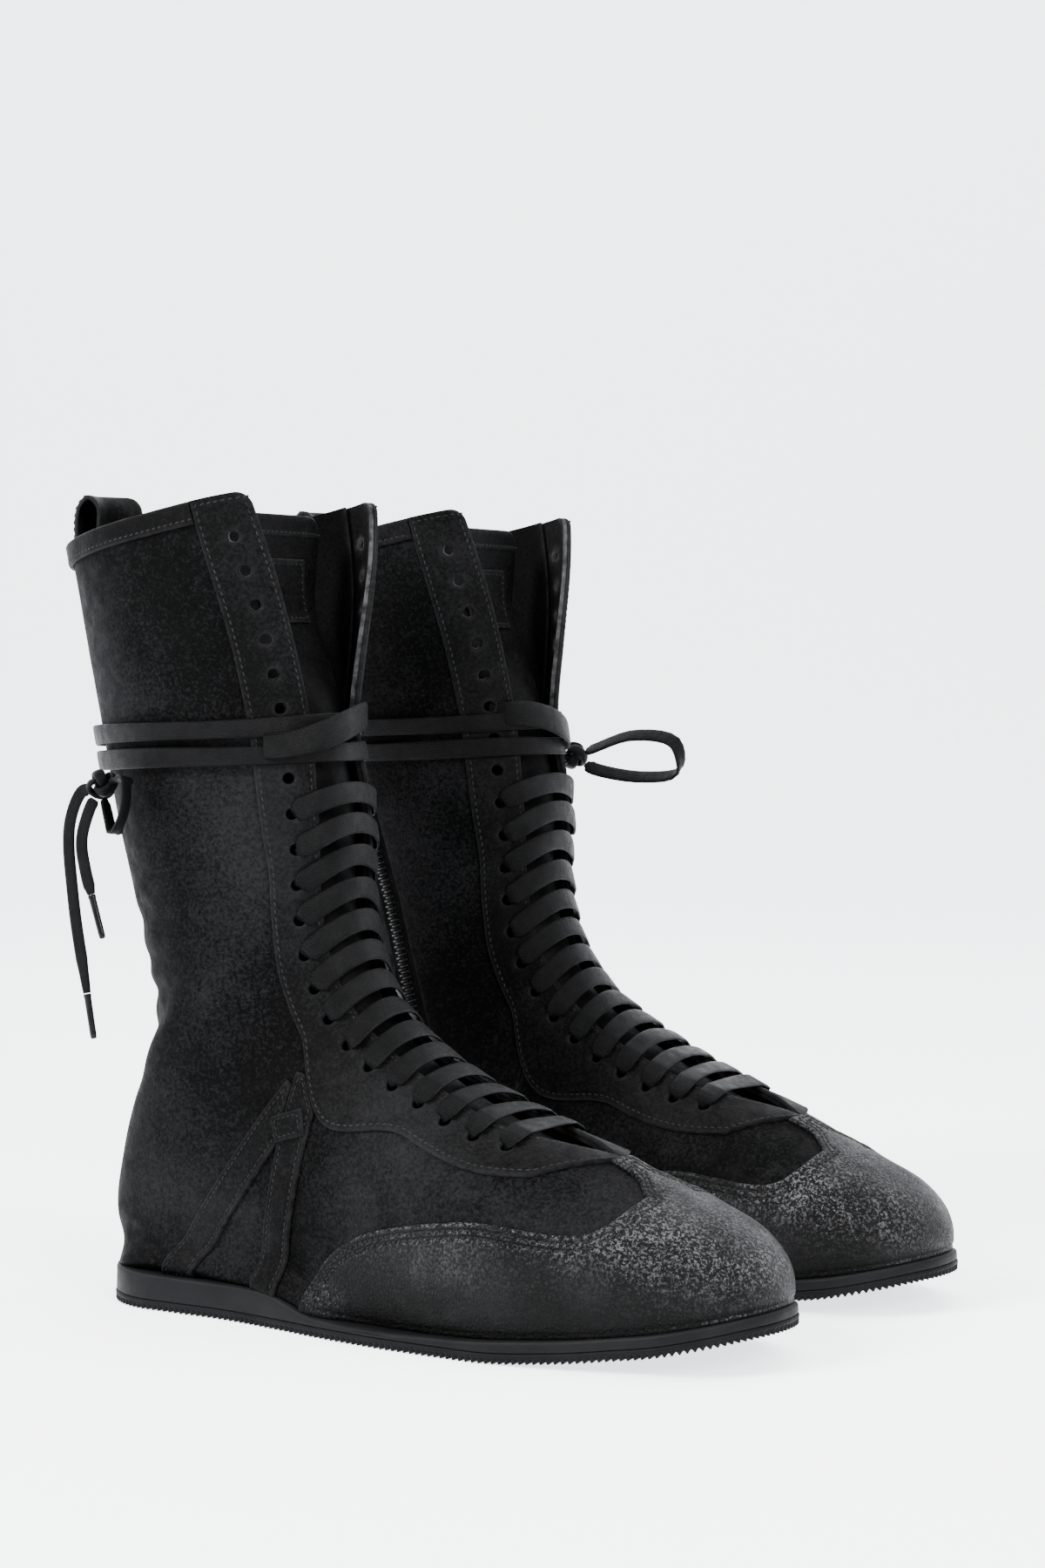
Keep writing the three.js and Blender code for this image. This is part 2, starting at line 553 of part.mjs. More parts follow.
  // Heel pull loop: a strap folded over the back of the collar, its ends sewn outside and inside
  const back = skin(atHeight(SECTIONS[LAST].fz - 3), Math.PI, 0);
  const lean = 0.23;
  const beside = skin(atHeight(SECTIONS[LAST].fz - 3), Math.PI - COLUMN_ANGLE, 0);
  const curve = (beside.x - back.x) / Math.abs(beside.y);
  const outLeg = -OVERLAY[1] - LOOP_THICK / 2 - 0.7;
  const inLeg = -LINING[0] + LOOP_THICK / 2 + 0.8;
  const loopSide = [
    [outLeg + 12 * lean, -12], [outLeg, 0], [outLeg - 2, LOOP_HEIGHT * 0.5],
    [outLeg - 0.4, LOOP_HEIGHT * 0.86], [(outLeg + inLeg) / 2, LOOP_HEIGHT],
    [inLeg + 0.8, LOOP_HEIGHT * 0.86], [inLeg + 1.2, LOOP_HEIGHT * 0.5], [inLeg, 0], [inLeg + 12 * lean, -12],
  ];
  const loopCurve = new THREE.CatmullRomCurve3(
    loopSide.map(([x, z]) => new THREE.Vector3(back.x + x, 0, back.z + z)));
  put('pull_loop', slab(16, 2, (a, b, side) => {
    const p = loopCurve.getPoint(a / 16);
    const t = loopCurve.getTangent(a / 16);
    p.addScaledVector(new THREE.Vector3(-t.z, 0, t.x), (side - 0.5) * LOOP_THICK);
    const y = (b / 2 - 0.5) * LOOP_WIDTH;
    return new THREE.Vector3(p.x + Math.abs(y) * curve, y, p.z);
  }), 'suede');

  // Lacing: outside bars, legs through the eyelets and the two runs behind them
  const laced = eyes.slice(0, LACED_COUNT);
  const halfWide = LACE_WIDTH / 2;
  const perSection = (s) => skin(Math.min(s + 0.1, LAST), 0).distanceTo(skin(s - 0.1, 0)) / 0.2;
  const lacing = [];
  for (const s of laced) {
    const ds = halfWide / perSection(s);
    const end = angleAt(s, throat(s) + EYELET_INSET + 2.2);
    const across = stops(-end, end, COLUMN_ANGLE);
    lacing.push(slab(1, across.length - 1, (a, b, side) =>
      skin(s + (2 * a - 1) * ds, across[b], side ? BAR[1] : BAR[0])));
    for (const side of [-1, 1]) lacing.push(peg(s, side, LEG_RADIUS, -2.0, 3.4, 4));
  }
  for (const side of [-1, 1]) {
    lacing.push(slab(LACED_COUNT - 1, 1, (a, b, face) => {
      const v = side * angleAt(laced[a], throat(laced[a]) + EYELET_INSET + (b - 0.5) * 4);
      return skin(laced[a], v, face ? -0.9 : -2.3);
    }));
  }
  put('lace_rows', join(...lacing), 'lace');

  // Two turns round the shaft above the rows
  const wrapLayer = layer(WRAP);
  const turn = (z0, rise) => wrapLayer.intersect(sidePrism(
    [[-60, z0], [160, z0 + rise], [160, z0 + rise + LACE_WIDTH], [-60, z0 + LACE_WIDTH]], -90, 90));
  put('lace_turn_lower', turn(TURN_HEIGHT, 7), 'lace');
  put('lace_turn_upper', turn(TURN_HEIGHT + LACE_WIDTH + TURN_GAP, 10), 'lace');

  // Zip
  for (const [name, piece] of Object.entries(zip.pieces)) put(name, piece.solid, piece.look);
  return pieces;
}

function zipParts() {
  const innerY = (x, z) => {
    let best = null;
    for (let s = atHeight(100); s <= LAST; s += 0.1) {
      for (let v = 0.6; v < 2.9; v += 0.03) {
        const p = skin(s, v);
        const d = Math.hypot(p.x - x, p.z - z);
        if (!best || d < best.d) best = { d, y: p.y };
      }
    }
    return best.y;
  };
  const low = new THREE.Vector3(ZIP_LOW.x, 0, ZIP_LOW.z);
  const top = new THREE.Vector3(ZIP_TOP.x, 0, ZIP_TOP.z);
  low.y = innerY(low.x, low.z);
  top.y = innerY(top.x, top.z);
  const along = top.clone().sub(low).normalize();
  const wide = new THREE.Vector3(along.z, 0, -along.x).normalize();
  const out = along.clone().cross(wide).normalize();
  if (out.y < 0) out.negate();
  const run = (share0, share1, width, from, to) => {
    const a = low.clone().lerp(top, share0).addScaledVector(out, (from + to) / 2);
    const b = low.clone().lerp(top, share1).addScaledVector(out, (from + to) / 2);
    return bar(a, b, width, to - from, wide);
  };
  // The puller hangs plumb from just under the slider
  const hook = low.clone().lerp(top, 0.9435).addScaledVector(out, 3.4);
  const plumb = new THREE.Vector3(0, 0, -1).addScaledVector(wide, wide.z).normalize();
  const puller = bar(hook, hook.clone().addScaledVector(plumb, PULLER_LENGTH), 5.5, 1.4, wide);
  const slot = run(-0.004, 1.0, ZIP_TAPE_WIDTH + 2 * GAP, -14, 10);
  return {
    slot,
    pieces: {
      zip_tape: {
        solid: join(
          run(0, 0.998, ZIP_TAPE_WIDTH, -1.2, 0),
          run(0.012, 0.99, ZIP_COIL_WIDTH, -0.2, 1.5),
          run(0.002, 0.0125, ZIP_COIL_WIDTH + 2, -0.2, 2.4)),
        look: 'tape',
      },
      zip_slider: { solid: run(0.945, 0.985, 8.5, 1.8, 4.2), look: 'metal' },
      zip_puller: { solid: puller, look: 'metal' },
    },
  };
}

// ---- free lace ends, one arrangement for each boot ----

const KNOT = { right: [22, -47, 206], left: [96, -36, 214] };
const KNOT_SIZE = [7, 4.5, 6.5];

function laceEnds(side) {
  const pieces = new Map();
  const put = (name, solid, look) => pieces.set(name, { solid, look });
  const knot = new THREE.Vector3(...KNOT[side]);
  const ball = new THREE.SphereGeometry(1, 9, 6);
  ball.scale(...KNOT_SIZE);
  ball.translate(...KNOT[side]);
  put('lace_knot', fromGeometry(ball), 'lace');
  const from = (...offset) => [knot.x + offset[0], knot.y + offset[1], knot.z + offset[2]];
  // A point just clear of the knot, and the next one straight out from it
  const leaving = (...way) => {
    const d = new THREE.Vector3(...way).normalize();
    const reach = 1 / Math.hypot(d.x / KNOT_SIZE[0], d.y / KNOT_SIZE[1], d.z / KNOT_SIZE[2]);
    return [0, 4].map((more) => knot.clone().addScaledVector(d, reach + GAP + more).toArray());
  };
  // A tail with its tip in line with its end
  const tail = (name, points, bent) => {
    put('lace_tail_' + name, tube(points, TAIL_RADIUS), 'lace');
    const end = new THREE.Vector3(...points[points.length - 1]);
    const way = end.clone().sub(new THREE.Vector3(...points[points.length - 2])).normalize();
    const at = (d) => end.clone().addScaledVector(way, d).add(new THREE.Vector3(bent * d, 0, 0)).toArray();
    put('lace_tip_' + name, tube([at(GAP + 0.1), at(TIP_LENGTH)], TAIL_RADIUS - 0.2, 8, 1), 'tip');
  };
  if (side === 'right') {
    put('lace_loop', tube([...leaving(1, -0.2, 0.2), from(18, -7, 2), from(20, -10, -9),
      from(14, -9, -18), ...leaving(0.5, -0.3, -1).reverse()], TAIL_RADIUS), 'lace');
    tail('long', [...leaving(-1, 0, -0.3), from(-16, -1, -16), from(-14, -1, -46), from(-7, -1, -82)], 0);
    tail('short', [...leaving(-0.5, -0.2, -1), from(-8, -3, -22), from(-6, -3, -34), from(-3, -3, -43)], 0);
  } else {
    put('lace_loop', tube([...leaving(1, 0, 0.3), from(28, -4, 9), from(48, -6, 6),
      from(50, -6, -6), from(32, -5, -9), ...leaving(1, -0.2, -0.6).reverse()], TAIL_RADIUS), 'lace');
  }
  return pieces;
}

// ---- the pair ----

const LOOKS = {
  suede: { color: 0x2a2a2c, roughness: 0.85 },
  waxed: { color: 0x222224, roughness: 0.5 },
  leather: { color: 0x1f1f21, roughness: 0.6 },
  lining: { color: 0x3a3a3c, roughness: 0.9 },
  board: { color: 0x8a7a62, roughness: 0.9 },
  rubber: { color: 0x3c3d40, roughness: 0.8 },
  rubber_dark: { color: 0x303134, roughness: 0.8 },
  lace: { color: 0x1c1c1e, roughness: 0.6 },
  tip: { color: 0x101012, roughness: 0.35 },
  tape: { color: 0x202022, roughness: 0.9 },
  coil: { color: 0x18181a, roughness: 0.4 },
  metal: { color: 0x6a6c70, roughness: 0.35, metalness: 0.9 },
};

function meshFrom(name, { solid, look }) {
  const data = solid.getMesh();
  const geometry = new THREE.BufferGeometry();
  const positions = new Float32Array((data.vertProperties.length / data.numProp) * 3);
  for (let i = 0; i < positions.length / 3; i += 1) {
    for (let k = 0; k < 3; k += 1) positions[i * 3 + k] = data.vertProperties[i * data.numProp + k];
  }
  geometry.setAttribute('position', new THREE.BufferAttribute(positions, 3));
  geometry.setIndex(new THREE.BufferAttribute(Uint32Array.from(data.triVerts), 1));
  const mesh = new THREE.Mesh(geometry, new THREE.MeshStandardMaterial(LOOKS[look]));
  mesh.name = name;
  return mesh;
}

const group = new THREE.Group();
const shared = rightBoot();
const middle = [...shared.values()].reduce((range, { solid }) => {
  const { min, max } = solid.boundingBox();
  return [Math.min(range[0], min[0]), Math.max(range[1], max[0])];
}, [Infinity, -Infinity]);
for (const side of ['right', 'left']) {
  const boot = new THREE.Group();
  const all = new Map([...shared, ...laceEnds(side)]);
  for (const [name, piece] of all) boot.add(meshFrom(side + '_' + name, piece));
  const y = side === 'right' ? -PAIR_SPACING / 2 : PAIR_SPACING / 2;
  boot.position.set(-(middle[0] + middle[1]) / 2, y, 0);
  if (side === 'left') boot.scale.y = -1;
  group.add(boot);
}

export default group;
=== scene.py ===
"""A pair of high lace-up boxing boots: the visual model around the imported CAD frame.

Shapes are written for the right boot, in millimetres in the boot's own frame: x from the back of the sole
to the toe, +y towards the inner side, z up from the ground. The left boot is its mirror image.
"""
import math

import bpy
import numpy as np
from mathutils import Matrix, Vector


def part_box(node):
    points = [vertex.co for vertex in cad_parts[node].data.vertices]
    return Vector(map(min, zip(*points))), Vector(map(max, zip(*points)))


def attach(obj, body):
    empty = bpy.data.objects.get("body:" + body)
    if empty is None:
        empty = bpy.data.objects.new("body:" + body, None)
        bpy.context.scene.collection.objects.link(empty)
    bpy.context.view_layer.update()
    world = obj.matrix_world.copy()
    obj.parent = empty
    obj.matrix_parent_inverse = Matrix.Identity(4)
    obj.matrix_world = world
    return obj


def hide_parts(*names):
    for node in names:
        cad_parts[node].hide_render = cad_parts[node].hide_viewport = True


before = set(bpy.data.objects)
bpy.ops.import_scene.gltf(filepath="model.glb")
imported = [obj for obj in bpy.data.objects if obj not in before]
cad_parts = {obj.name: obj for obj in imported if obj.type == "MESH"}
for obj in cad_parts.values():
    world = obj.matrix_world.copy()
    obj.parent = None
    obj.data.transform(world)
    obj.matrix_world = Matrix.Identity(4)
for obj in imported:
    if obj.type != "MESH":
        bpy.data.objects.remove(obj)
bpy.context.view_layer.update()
SIDES = ("right", "left")
MM = 0.001


def origin_of(side):
    sole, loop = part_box(side + "_outsole"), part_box(side + "_pull_loop")
    return np.array([sole[0].x, (loop[0].y + loop[1].y) / 2, sole[0].z])


ORIGIN = {side: origin_of(side) for side in SIDES}


def to_row(points, side):
    """Boot-frame millimetres to row-frame metres."""
    p = np.array(points, float).reshape(-1, 3) * MM
    if side == "left":
        p[:, 1] *= -1
    return p + ORIGIN[side]


def unit(v):
    """Vectors along the last axis at length 1."""
    return v / (np.linalg.norm(v, axis=-1, keepdims=True) + 1e-12)


def gone_along(p):
    """The distance along a line from its first point to each of its points."""
    return np.concatenate([[0], np.cumsum(np.linalg.norm(np.diff(p, axis=0), axis=1))])


def same(vector, count):
    """One vector repeated for every point of a line."""
    return np.repeat(np.asarray(vector, float)[None, :], count, axis=0)


def tube_faces(rings, count, closed=False, capped=True):
    """Faces round a tube of rings of count points, joined end to end or closed with caps."""
    faces = []
    for i in range(rings if closed else rings - 1):
        a, b = i * count, (i + 1) % rings * count
        faces += [(a + k, a + (k + 1) % count, b + (k + 1) % count, b + k) for k in range(count)]
    if capped and not closed:
        faces += [tuple(range(count - 1, -1, -1)), tuple(range((rings - 1) * count, rings * count))]
    return faces


# ---- camera, placed after the photograph ----
CAMERA_AT = (0.7139, -1.0681, 0.2450)
LOOK = (-0.5519, 0.8339, 0.0)
camera_data = bpy.data.cameras.new("camera")
camera_data.lens = 73.15
camera_data.sensor_width = 36
camera_data.shift_y = -0.0633
camera = bpy.data.objects.new("camera", camera_data)
camera.location = CAMERA_AT
camera.rotation_euler = Vector(LOOK).to_track_quat("-Z", "Y").to_euler()
bpy.context.scene.collection.objects.link(camera)
bpy.context.scene.camera = camera

# ---- the sizes the CAD uses ----
# fx, fz front point; kx, kz back point; c middle; wl, wm half widths; nf, nb squareness; g throat half width
SECTIONS = np.array([
    [293, 28, 293, 28, 6, 0, 0, 2, 2, .2],
    [290.5, 35, 291, 18, 6, 14, 14, 2, 2.4, .2],
    [285, 42, 286, 12, 6, 24, 24, 2, 2.8, .2],
    [275, 49, 275, 7, 6, 33, 33, 2.1, 3.2, .2],
    [259, 56, 260, 3, 6, 38, 38, 2.1, 3.4, .2],
    [229, 70, 225, -2, 3, 43, 41, 2.1, 3.4, .2],
    [214, 75, 208, -3, 1, 44, 42, 2.1, 3.4, 8],
    [197, 80, 188, -4, 0, 44, 41, 2.1, 3.4, 14],
    [157, 99, 134, -3, 0, 40, 32, 2.1, 3.2, 16.5],
    [129, 121, 78, 5, 0, 33.5, 29.5, 2.1, 2.8, 17],
    [120.5, 133, 45, 6, 0, 33, 30.5, 2.1, 2.6, 17.5],
    [115, 145, 14, 7, 0, 33.5, 32, 2.1, 2.4, 17.5],
    [112, 156, -1.5, 26, 0, 34, 33, 2.1, 2.2, 17.5],
    [110.5, 167, 1, 50, 0, 34, 33.5, 2.1, 2.1, 17.5],
    [109.5, 179, 9, 76, 0, 34.5, 34, 2.1, 2, 17.5],
    [109, 191, 19.5, 104, 0, 35.5, 35, 2.1, 2, 17.5],
    [107.5, 204, 14, 136, 0, 37, 36.5, 2.1, 2, 17.2],
    [102, 236, -4, 208, 0, 41, 40.5, 2.1, 2, 16],
    [101, 262, -11, 242, 0, 43.5, 43, 2.7, 2, 23],
    [98.5, 321, -23.5, 299, 0, 48, 47.5, 4.2, 2, 43],
])
LAST = len(SECTIONS) - 1
FX, FZ, KX, KZ, MID, WL, WM, NF, NB, G = range(10)
BOOT_LENGTH, OUTSOLE_THICK, HEEL_RADIUS, TOE_RADIUS = 297, 4, 36, 42
STRIP_WIDTH, LOBE_EXTRA, LOBE_HEIGHT, EYELET_INSET = 24, 15, 116, 10.8
EYELET_COUNT, LACED_COUNT, UNDERLAP = 22, 14, 16
FIRST_EYELET_FROM_TIP, TOP_EYELET_BELOW_EDGE = 36, 16.5
TIP_X, THROAT_TIP_X = 231, 221
COUNTER_LENGTH, COUNTER_HEIGHT, TOE_PUFF_FROM = 62, 58, 250
COLLAR_HEIGHT, STRAP_WIDTH = 9, 13
ZIP_TAPE_WIDTH, ZIP_LOW, ZIP_TOP = 13, (71, 62), (13, 284)
# Each ply's inner and outer distance from the skin
UPPER, LINING, OVERLAY, TAB = (-1.3, 0), (-4, -3), (0.3, 1.9), (2.0, 3.5)
STIFFENER, BACKING = (-2.7, -1.6), (-1.7, 0.2)
TONGUE_PLY, TONGUE_BINDING, PATCH_PLY = (-6.4, -4.9), (-6.9, -4.4), (-4.4, -3.5)
SHAFT_TOP = 17                   # section number above which distances count down from the collar's edge
OUTER_WIDTH = [[0, 36], [36, 36.5], [75, 36], [102, 39.7], [125, 43.8], [154, 47], [197, 48.5], [222, 47.5],
               [255, 42], [297, 42]]
INNER_WIDTH = [[0, 33], [36, 33], [75, 31.5], [102, 32], [125, 34], [154, 40], [197, 44.5], [222, 44.5],
               [255, 42], [297, 42]]
MIDDLE = [[0, 0], [154, 0], [197, 1], [222, 3.5], [255, 6], [297, 6]]
SOLE_BOTTOM = [[0, 0], [205, 0], [235, 2.6], [266, 7], [290, 12.2], [297, 14]]
SOLE_TOP = [[0, 14], [96, 13.4], [118, 7], [150, 6], [196, 7.6], [235, 10.8], [266, 15.2], [290, 20],
            [297, 21.8]]


def eased(table, x, reach=6.0):
    """A table of [x, size] with its corners eased over a few millimetres."""
    t = np.array(table, float)
    x = np.asarray(x, float)
    shifts = np.linspace(-reach, reach, 9)
    return np.mean([np.interp(x + s, t[:, 0], t[:, 1]) for s in shifts], axis=0)


def sole_top(x):
    return eased(SOLE_TOP, x, 7)


def sole_bottom(x):
    return eased(SOLE_BOTTOM, x, 7)


# ---- the smooth skin of the upper ----
def smooth(t):
    t = np.clip(t, 0, 1)
    return t * t * (3 - 2 * t)


step = np.diff(SECTIONS, axis=0)
spans = np.sqrt((step[:, FX]**2 + step[:, FZ]**2 + step[:, KX]**2 + step[:, KZ]**2) / 2 + step[:, WL]**2)
KNOTS = np.concatenate([[0], np.cumsum(spans)])
TOP_SPAN = KNOTS[-1] - KNOTS[-2]


def hermite(t):
    """Every channel of SECTIONS at distances t, on one smooth curve through the sections."""
    h = np.diff(KNOTS)[:, None]
    slope = step / h
    m = np.empty_like(SECTIONS)
    m[1:-1] = (slope[:-1] * h[1:] + slope[1:] * h[:-1]) / (h[1:] + h[:-1])
    m[0], m[-1] = slope[0], slope[-1]
    m[0, [FX, FZ, KX, KZ]] = 0, slope[0, FZ], 0, slope[0, KZ]
    i = np.clip(np.searchsorted(KNOTS, t, side="right") - 1, 0, LAST - 1)
    u = ((t - KNOTS[i]) / np.diff(KNOTS)[i])[:, None]
    hh = h[i]
    return ((2*u**3 - 3*u**2 + 1) * SECTIONS[i] + (u**3 - 2*u**2 + u) * hh * m[i]
            + (3*u**2 - 2*u**3) * SECTIONS[i + 1] + (u**3 - u**2) * hh * m[i + 1])


HALF = 150                       # skin columns from the front line to the back line
ROW_T = np.concatenate([[0.3, 1.0, 2.0], np.arange(3.2, KNOTS[-1], 1.15), [KNOTS[-1]]])
ROW_S = np.interp(ROW_T, KNOTS, np.arange(LAST + 1))
ROW = hermite(ROW_T)


def undulation(p):
    """Creases and soft dents of the worn leather, in millimetres along the normal."""
    x, y, z = p[..., 0], p[..., 1], p[..., 2]
    low = (0.45 * np.sin(x / 17 + 1.3) * np.sin(z / 23 + y / 31) + 0.35 * np.sin(z / 14 - x / 29 + 2.0)
           + 0.3 * np.sin(y / 11 + z / 37) * np.sin(x / 21 + 0.7))
    heel = np.exp(-((x - 22) / 34)**2)
    crease = 0.0
    for z0, tilt, depth, wide in ((118, 0.30, 1.7, 5.2), (131, 0.18, 1.1, 4.6), (104, 0.42, 1.3, 5.4),
                                  (149, 0.10, 0.8, 5.2), (90, 0.5, 0.8, 5.4)):
        line = z0 + tilt * (x - 22) + 2.5 * np.sin(x / 9 + z0) + 0.10 * np.abs(y)
        crease = crease - depth * np.exp(-((z - line) / wide)**2) * heel
        crease = crease + 0.5 * depth * np.exp(-((z - line - 7) / (1.5 * wide))**2) * heel
    flex = 0.0
    for x0 in (176, 188, 201):
        flex = flex - 0.45 * np.exp(-((x - x0 - 0.25 * (z - 60)) / 3.2)**2) * np.exp(-((z - 44) / 18)**2)
    return low * np.clip((z - 10) / 30, 0, 1) * 0.8 + crease + flex


def build_skin():
    theta = np.linspace(0, math.pi, 361)
    c, s = np.cos(theta), np.sin(theta)
    halves, lengths = [], []
    for sign, width in ((-1, WL), (1, WM)):
        n = np.where(c[None, :] > 0, ROW[:, NF][:, None], ROW[:, NB][:, None])
        r = (np.abs(c[None, :])**n + np.abs(s[None, :])**n)**(-1 / n)
        along, across = c * r, s * r
        ring = np.stack([
            (ROW[:, FX] + ROW[:, KX])[:, None] / 2 + (ROW[:, FX] - ROW[:, KX])[:, None] / 2 * along,
            ROW[:, MID][:, None] + sign * across * np.maximum(ROW[:, width], 0.05)[:, None],
            (ROW[:, FZ] + ROW[:, KZ])[:, None] / 2 + (ROW[:, FZ] - ROW[:, KZ])[:, None] / 2 * along], axis=-1)
        gone = np.concatenate([np.zeros((len(ROW), 1)),
                               np.cumsum(np.linalg.norm(np.diff(ring, axis=1), axis=2), axis=1)], axis=1)
        q = np.linspace(0, 1, HALF + 1)
        out = np.empty((len(ROW), HALF + 1, 3))
        for a in range(len(ROW)):
            for k in range(3):
                out[a, :, k] = np.interp(q * gone[a, -1], gone[a], ring[a, :, k])
        halves.append(out)
        lengths.append(gone[:, -1])
    grid = np.concatenate([halves[0][:, ::-1], halves[1][:, 1:]], axis=1)      # q from -1 to 1
    return grid, np.array(lengths)


def grid_normals(p):
    wrapped = np.concatenate([p[:, -2:-1], p, p[:, 1:2]], axis=1)
    across = wrapped[:, 2:] - wrapped[:, :-2]
    along = np.gradient(p, axis=0)
    n = np.cross(across, along)
    n = unit(n)
    side = len(p[0]) * 3 // 4
    return n if n[len(p) - 20, side, 1] > 0 else -n


def seated(p, inset=1.5):
    """Brings the foot of the upper out to the edge of the sole, round the heel and along the waist."""
    x, y, z = p[..., 0], p[..., 1], p[..., 2]
    mid = np.interp(x, *np.array(MIDDLE, float).T)
    half = np.where(y < mid, eased(OUTER_WIDTH, x, 8), eased(INNER_WIDTH, x, 8))
    top = sole_top(x)
    dx = np.where(x < HEEL_RADIUS, (x - HEEL_RADIUS) / (HEEL_RADIUS - inset), 0)
    dy = (y - mid) / (half - inset)
    reach = np.hypot(dx, dy)
    grow = 1 / np.maximum(reach, 0.3)
    weight = smooth(1 - (z - top) / 17) * smooth((reach - 0.45) / 0.3) * smooth((150 - x) / 40)
    out = p.copy()
    out[..., 1] = mid + (y - mid) * (1 + weight * (grow - 1))
    heel = HEEL_RADIUS + (x - HEEL_RADIUS) * (1 + weight * (grow - 1))
    out[..., 0] = np.where(x < HEEL_RADIUS, heel, x)
    return out


SKIN, PERIMETER = build_skin()
SKIN = seated(SKIN)
SKIN_N = grid_normals(SKIN)
SKIN = SKIN + SKIN_N * undulation(SKIN)[..., None]
SKIN_N = grid_normals(SKIN)
SKIN_N[:2] = np.array([1.0, 0, 0])


def look_up(table, row, col):
    r0 = np.clip(np.floor(row).astype(int), 0, len(table) - 2)
    c0 = np.clip(np.floor(col).astype(int), 0, 2 * HALF - 1)
    a, b = (row - r0)[..., None], (col - c0)[..., None]
    return ((1 - a) * ((1 - b) * table[r0, c0] + b * table[r0, c0 + 1])
            + a * ((1 - b) * table[r0 + 1, c0] + b * table[r0 + 1, c0 + 1]))


def half_length(s, side):
    """The length along the skin from the front line to the back line: side -1 outer, 1 inner."""
    return np.interp(s, ROW_S, PERIMETER[0] if side < 0 else PERIMETER[1])


def skin(s, d):
    """Points and normals at section numbers s and signed distances d along the skin from the front line."""
    s, d = np.broadcast_arrays(np.asarray(s, float), np.asarray(d, float))
    half = np.where(d < 0, half_length(s, -1), half_length(s, 1))
    col = HALF + np.clip(d / half, -1, 1) * HALF
    row = np.interp(s, ROW_S, np.arange(len(ROW_S)))
    n = look_up(SKIN_N, row, col)
    return look_up(SKIN, row, col), unit(n)


def channel(k, s):
    return np.interp(s, ROW_S, ROW[:, k])


def at_height(z):
    fine = np.linspace(6, LAST, 4000)
    return float(fine[np.argmax(channel(FZ, fine) >= z)]) if z < SECTIONS[LAST, FZ] - 1e-6 else float(LAST)


def section_at(x):
    fine = np.linspace(0, 12, 4000)
    return float(fine[np.argmax(channel(FX, fine) <= x)])


TIP, THROAT_TIP = section_at(TIP_X), section_at(THROAT_TIP_X)


def throat(s):
    return np.maximum(channel(G, s), 0.15)


def strip_back(s):
    lobe = LOBE_EXTRA * smooth(1 - np.abs(channel(FZ, s) - LOBE_HEIGHT) / 20)
    return throat(s) + (STRIP_WIDTH + lobe) * np.sqrt(np.clip((s - TIP) / 1.2, 0.02, 1))


def under_edge(s):
    return throat(s) + UNDERLAP * np.clip((s - THROAT_TIP) / 0.8, 0.35, 1)


# ---- patches of the skin: each row of att is position, normal, field, s, d ----
POS, NRM, FLD, SEC, DIS = slice(0, 3), slice(3, 6), 6, 7, 8


def patch(s_values, d_of, columns):
    """A grid over the skin; d_of(s, share) gives the signed distances of each row's points."""
    share = np.linspace(0, 1, columns + 1)
    s = np.repeat(np.asarray(s_values, float)[:, None], columns + 1, axis=1)
    d = np.stack([np.broadcast_to(d_of(v, share), share.shape) for v in s_values])
    p, n = skin(s, d)
    att = np.concatenate([p, n, np.zeros(s.shape + (1,)), s[..., None], d[..., None]], axis=2).reshape(-1, 9)
    k = np.arange(len(att)).reshape(s.shape)
    a, b, c, e = k[:-1, :-1].ravel(), k[1:, :-1].ravel(), k[1:, 1:].ravel(), k[:-1, 1:].ravel()
    tris = np.concatenate([np.stack([a, b, c], 1), np.stack([a, c, e], 1)])
    return att, tris


def whole_skin(fine=1):
    """The whole skin as one patch, open at the collar and closed round the back."""
    count = 2 * HALF
    keep = np.arange(0, len(SKIN), fine)
    if keep[-1] != len(SKIN) - 1:
        keep = np.append(keep, len(SKIN) - 1)
    p, n = SKIN[keep][:, :count], SKIN_N[keep][:, :count]
    s = np.repeat(ROW_S[keep][:, None], count, axis=1)
    q = (np.arange(count) - HALF) / HALF
    outer, inner = (side[keep][:, None] for side in PERIMETER)
    d = np.where(q < 0, q * outer, q * inner)
    att = np.concatenate([p, n, np.zeros(s.shape + (1,)), s[..., None], d[..., None]], axis=2).reshape(-1, 9)
    k = np.arange(len(att)).reshape(s.shape)
    nxt = np.roll(k, -1, axis=1)
    a, b, c, e = k[:-1].ravel(), k[1:].ravel(), nxt[1:].ravel(), nxt[:-1].ravel()
    return att, np.concatenate([np.stack([a, b, c], 1), np.stack([a, c, e], 1)])


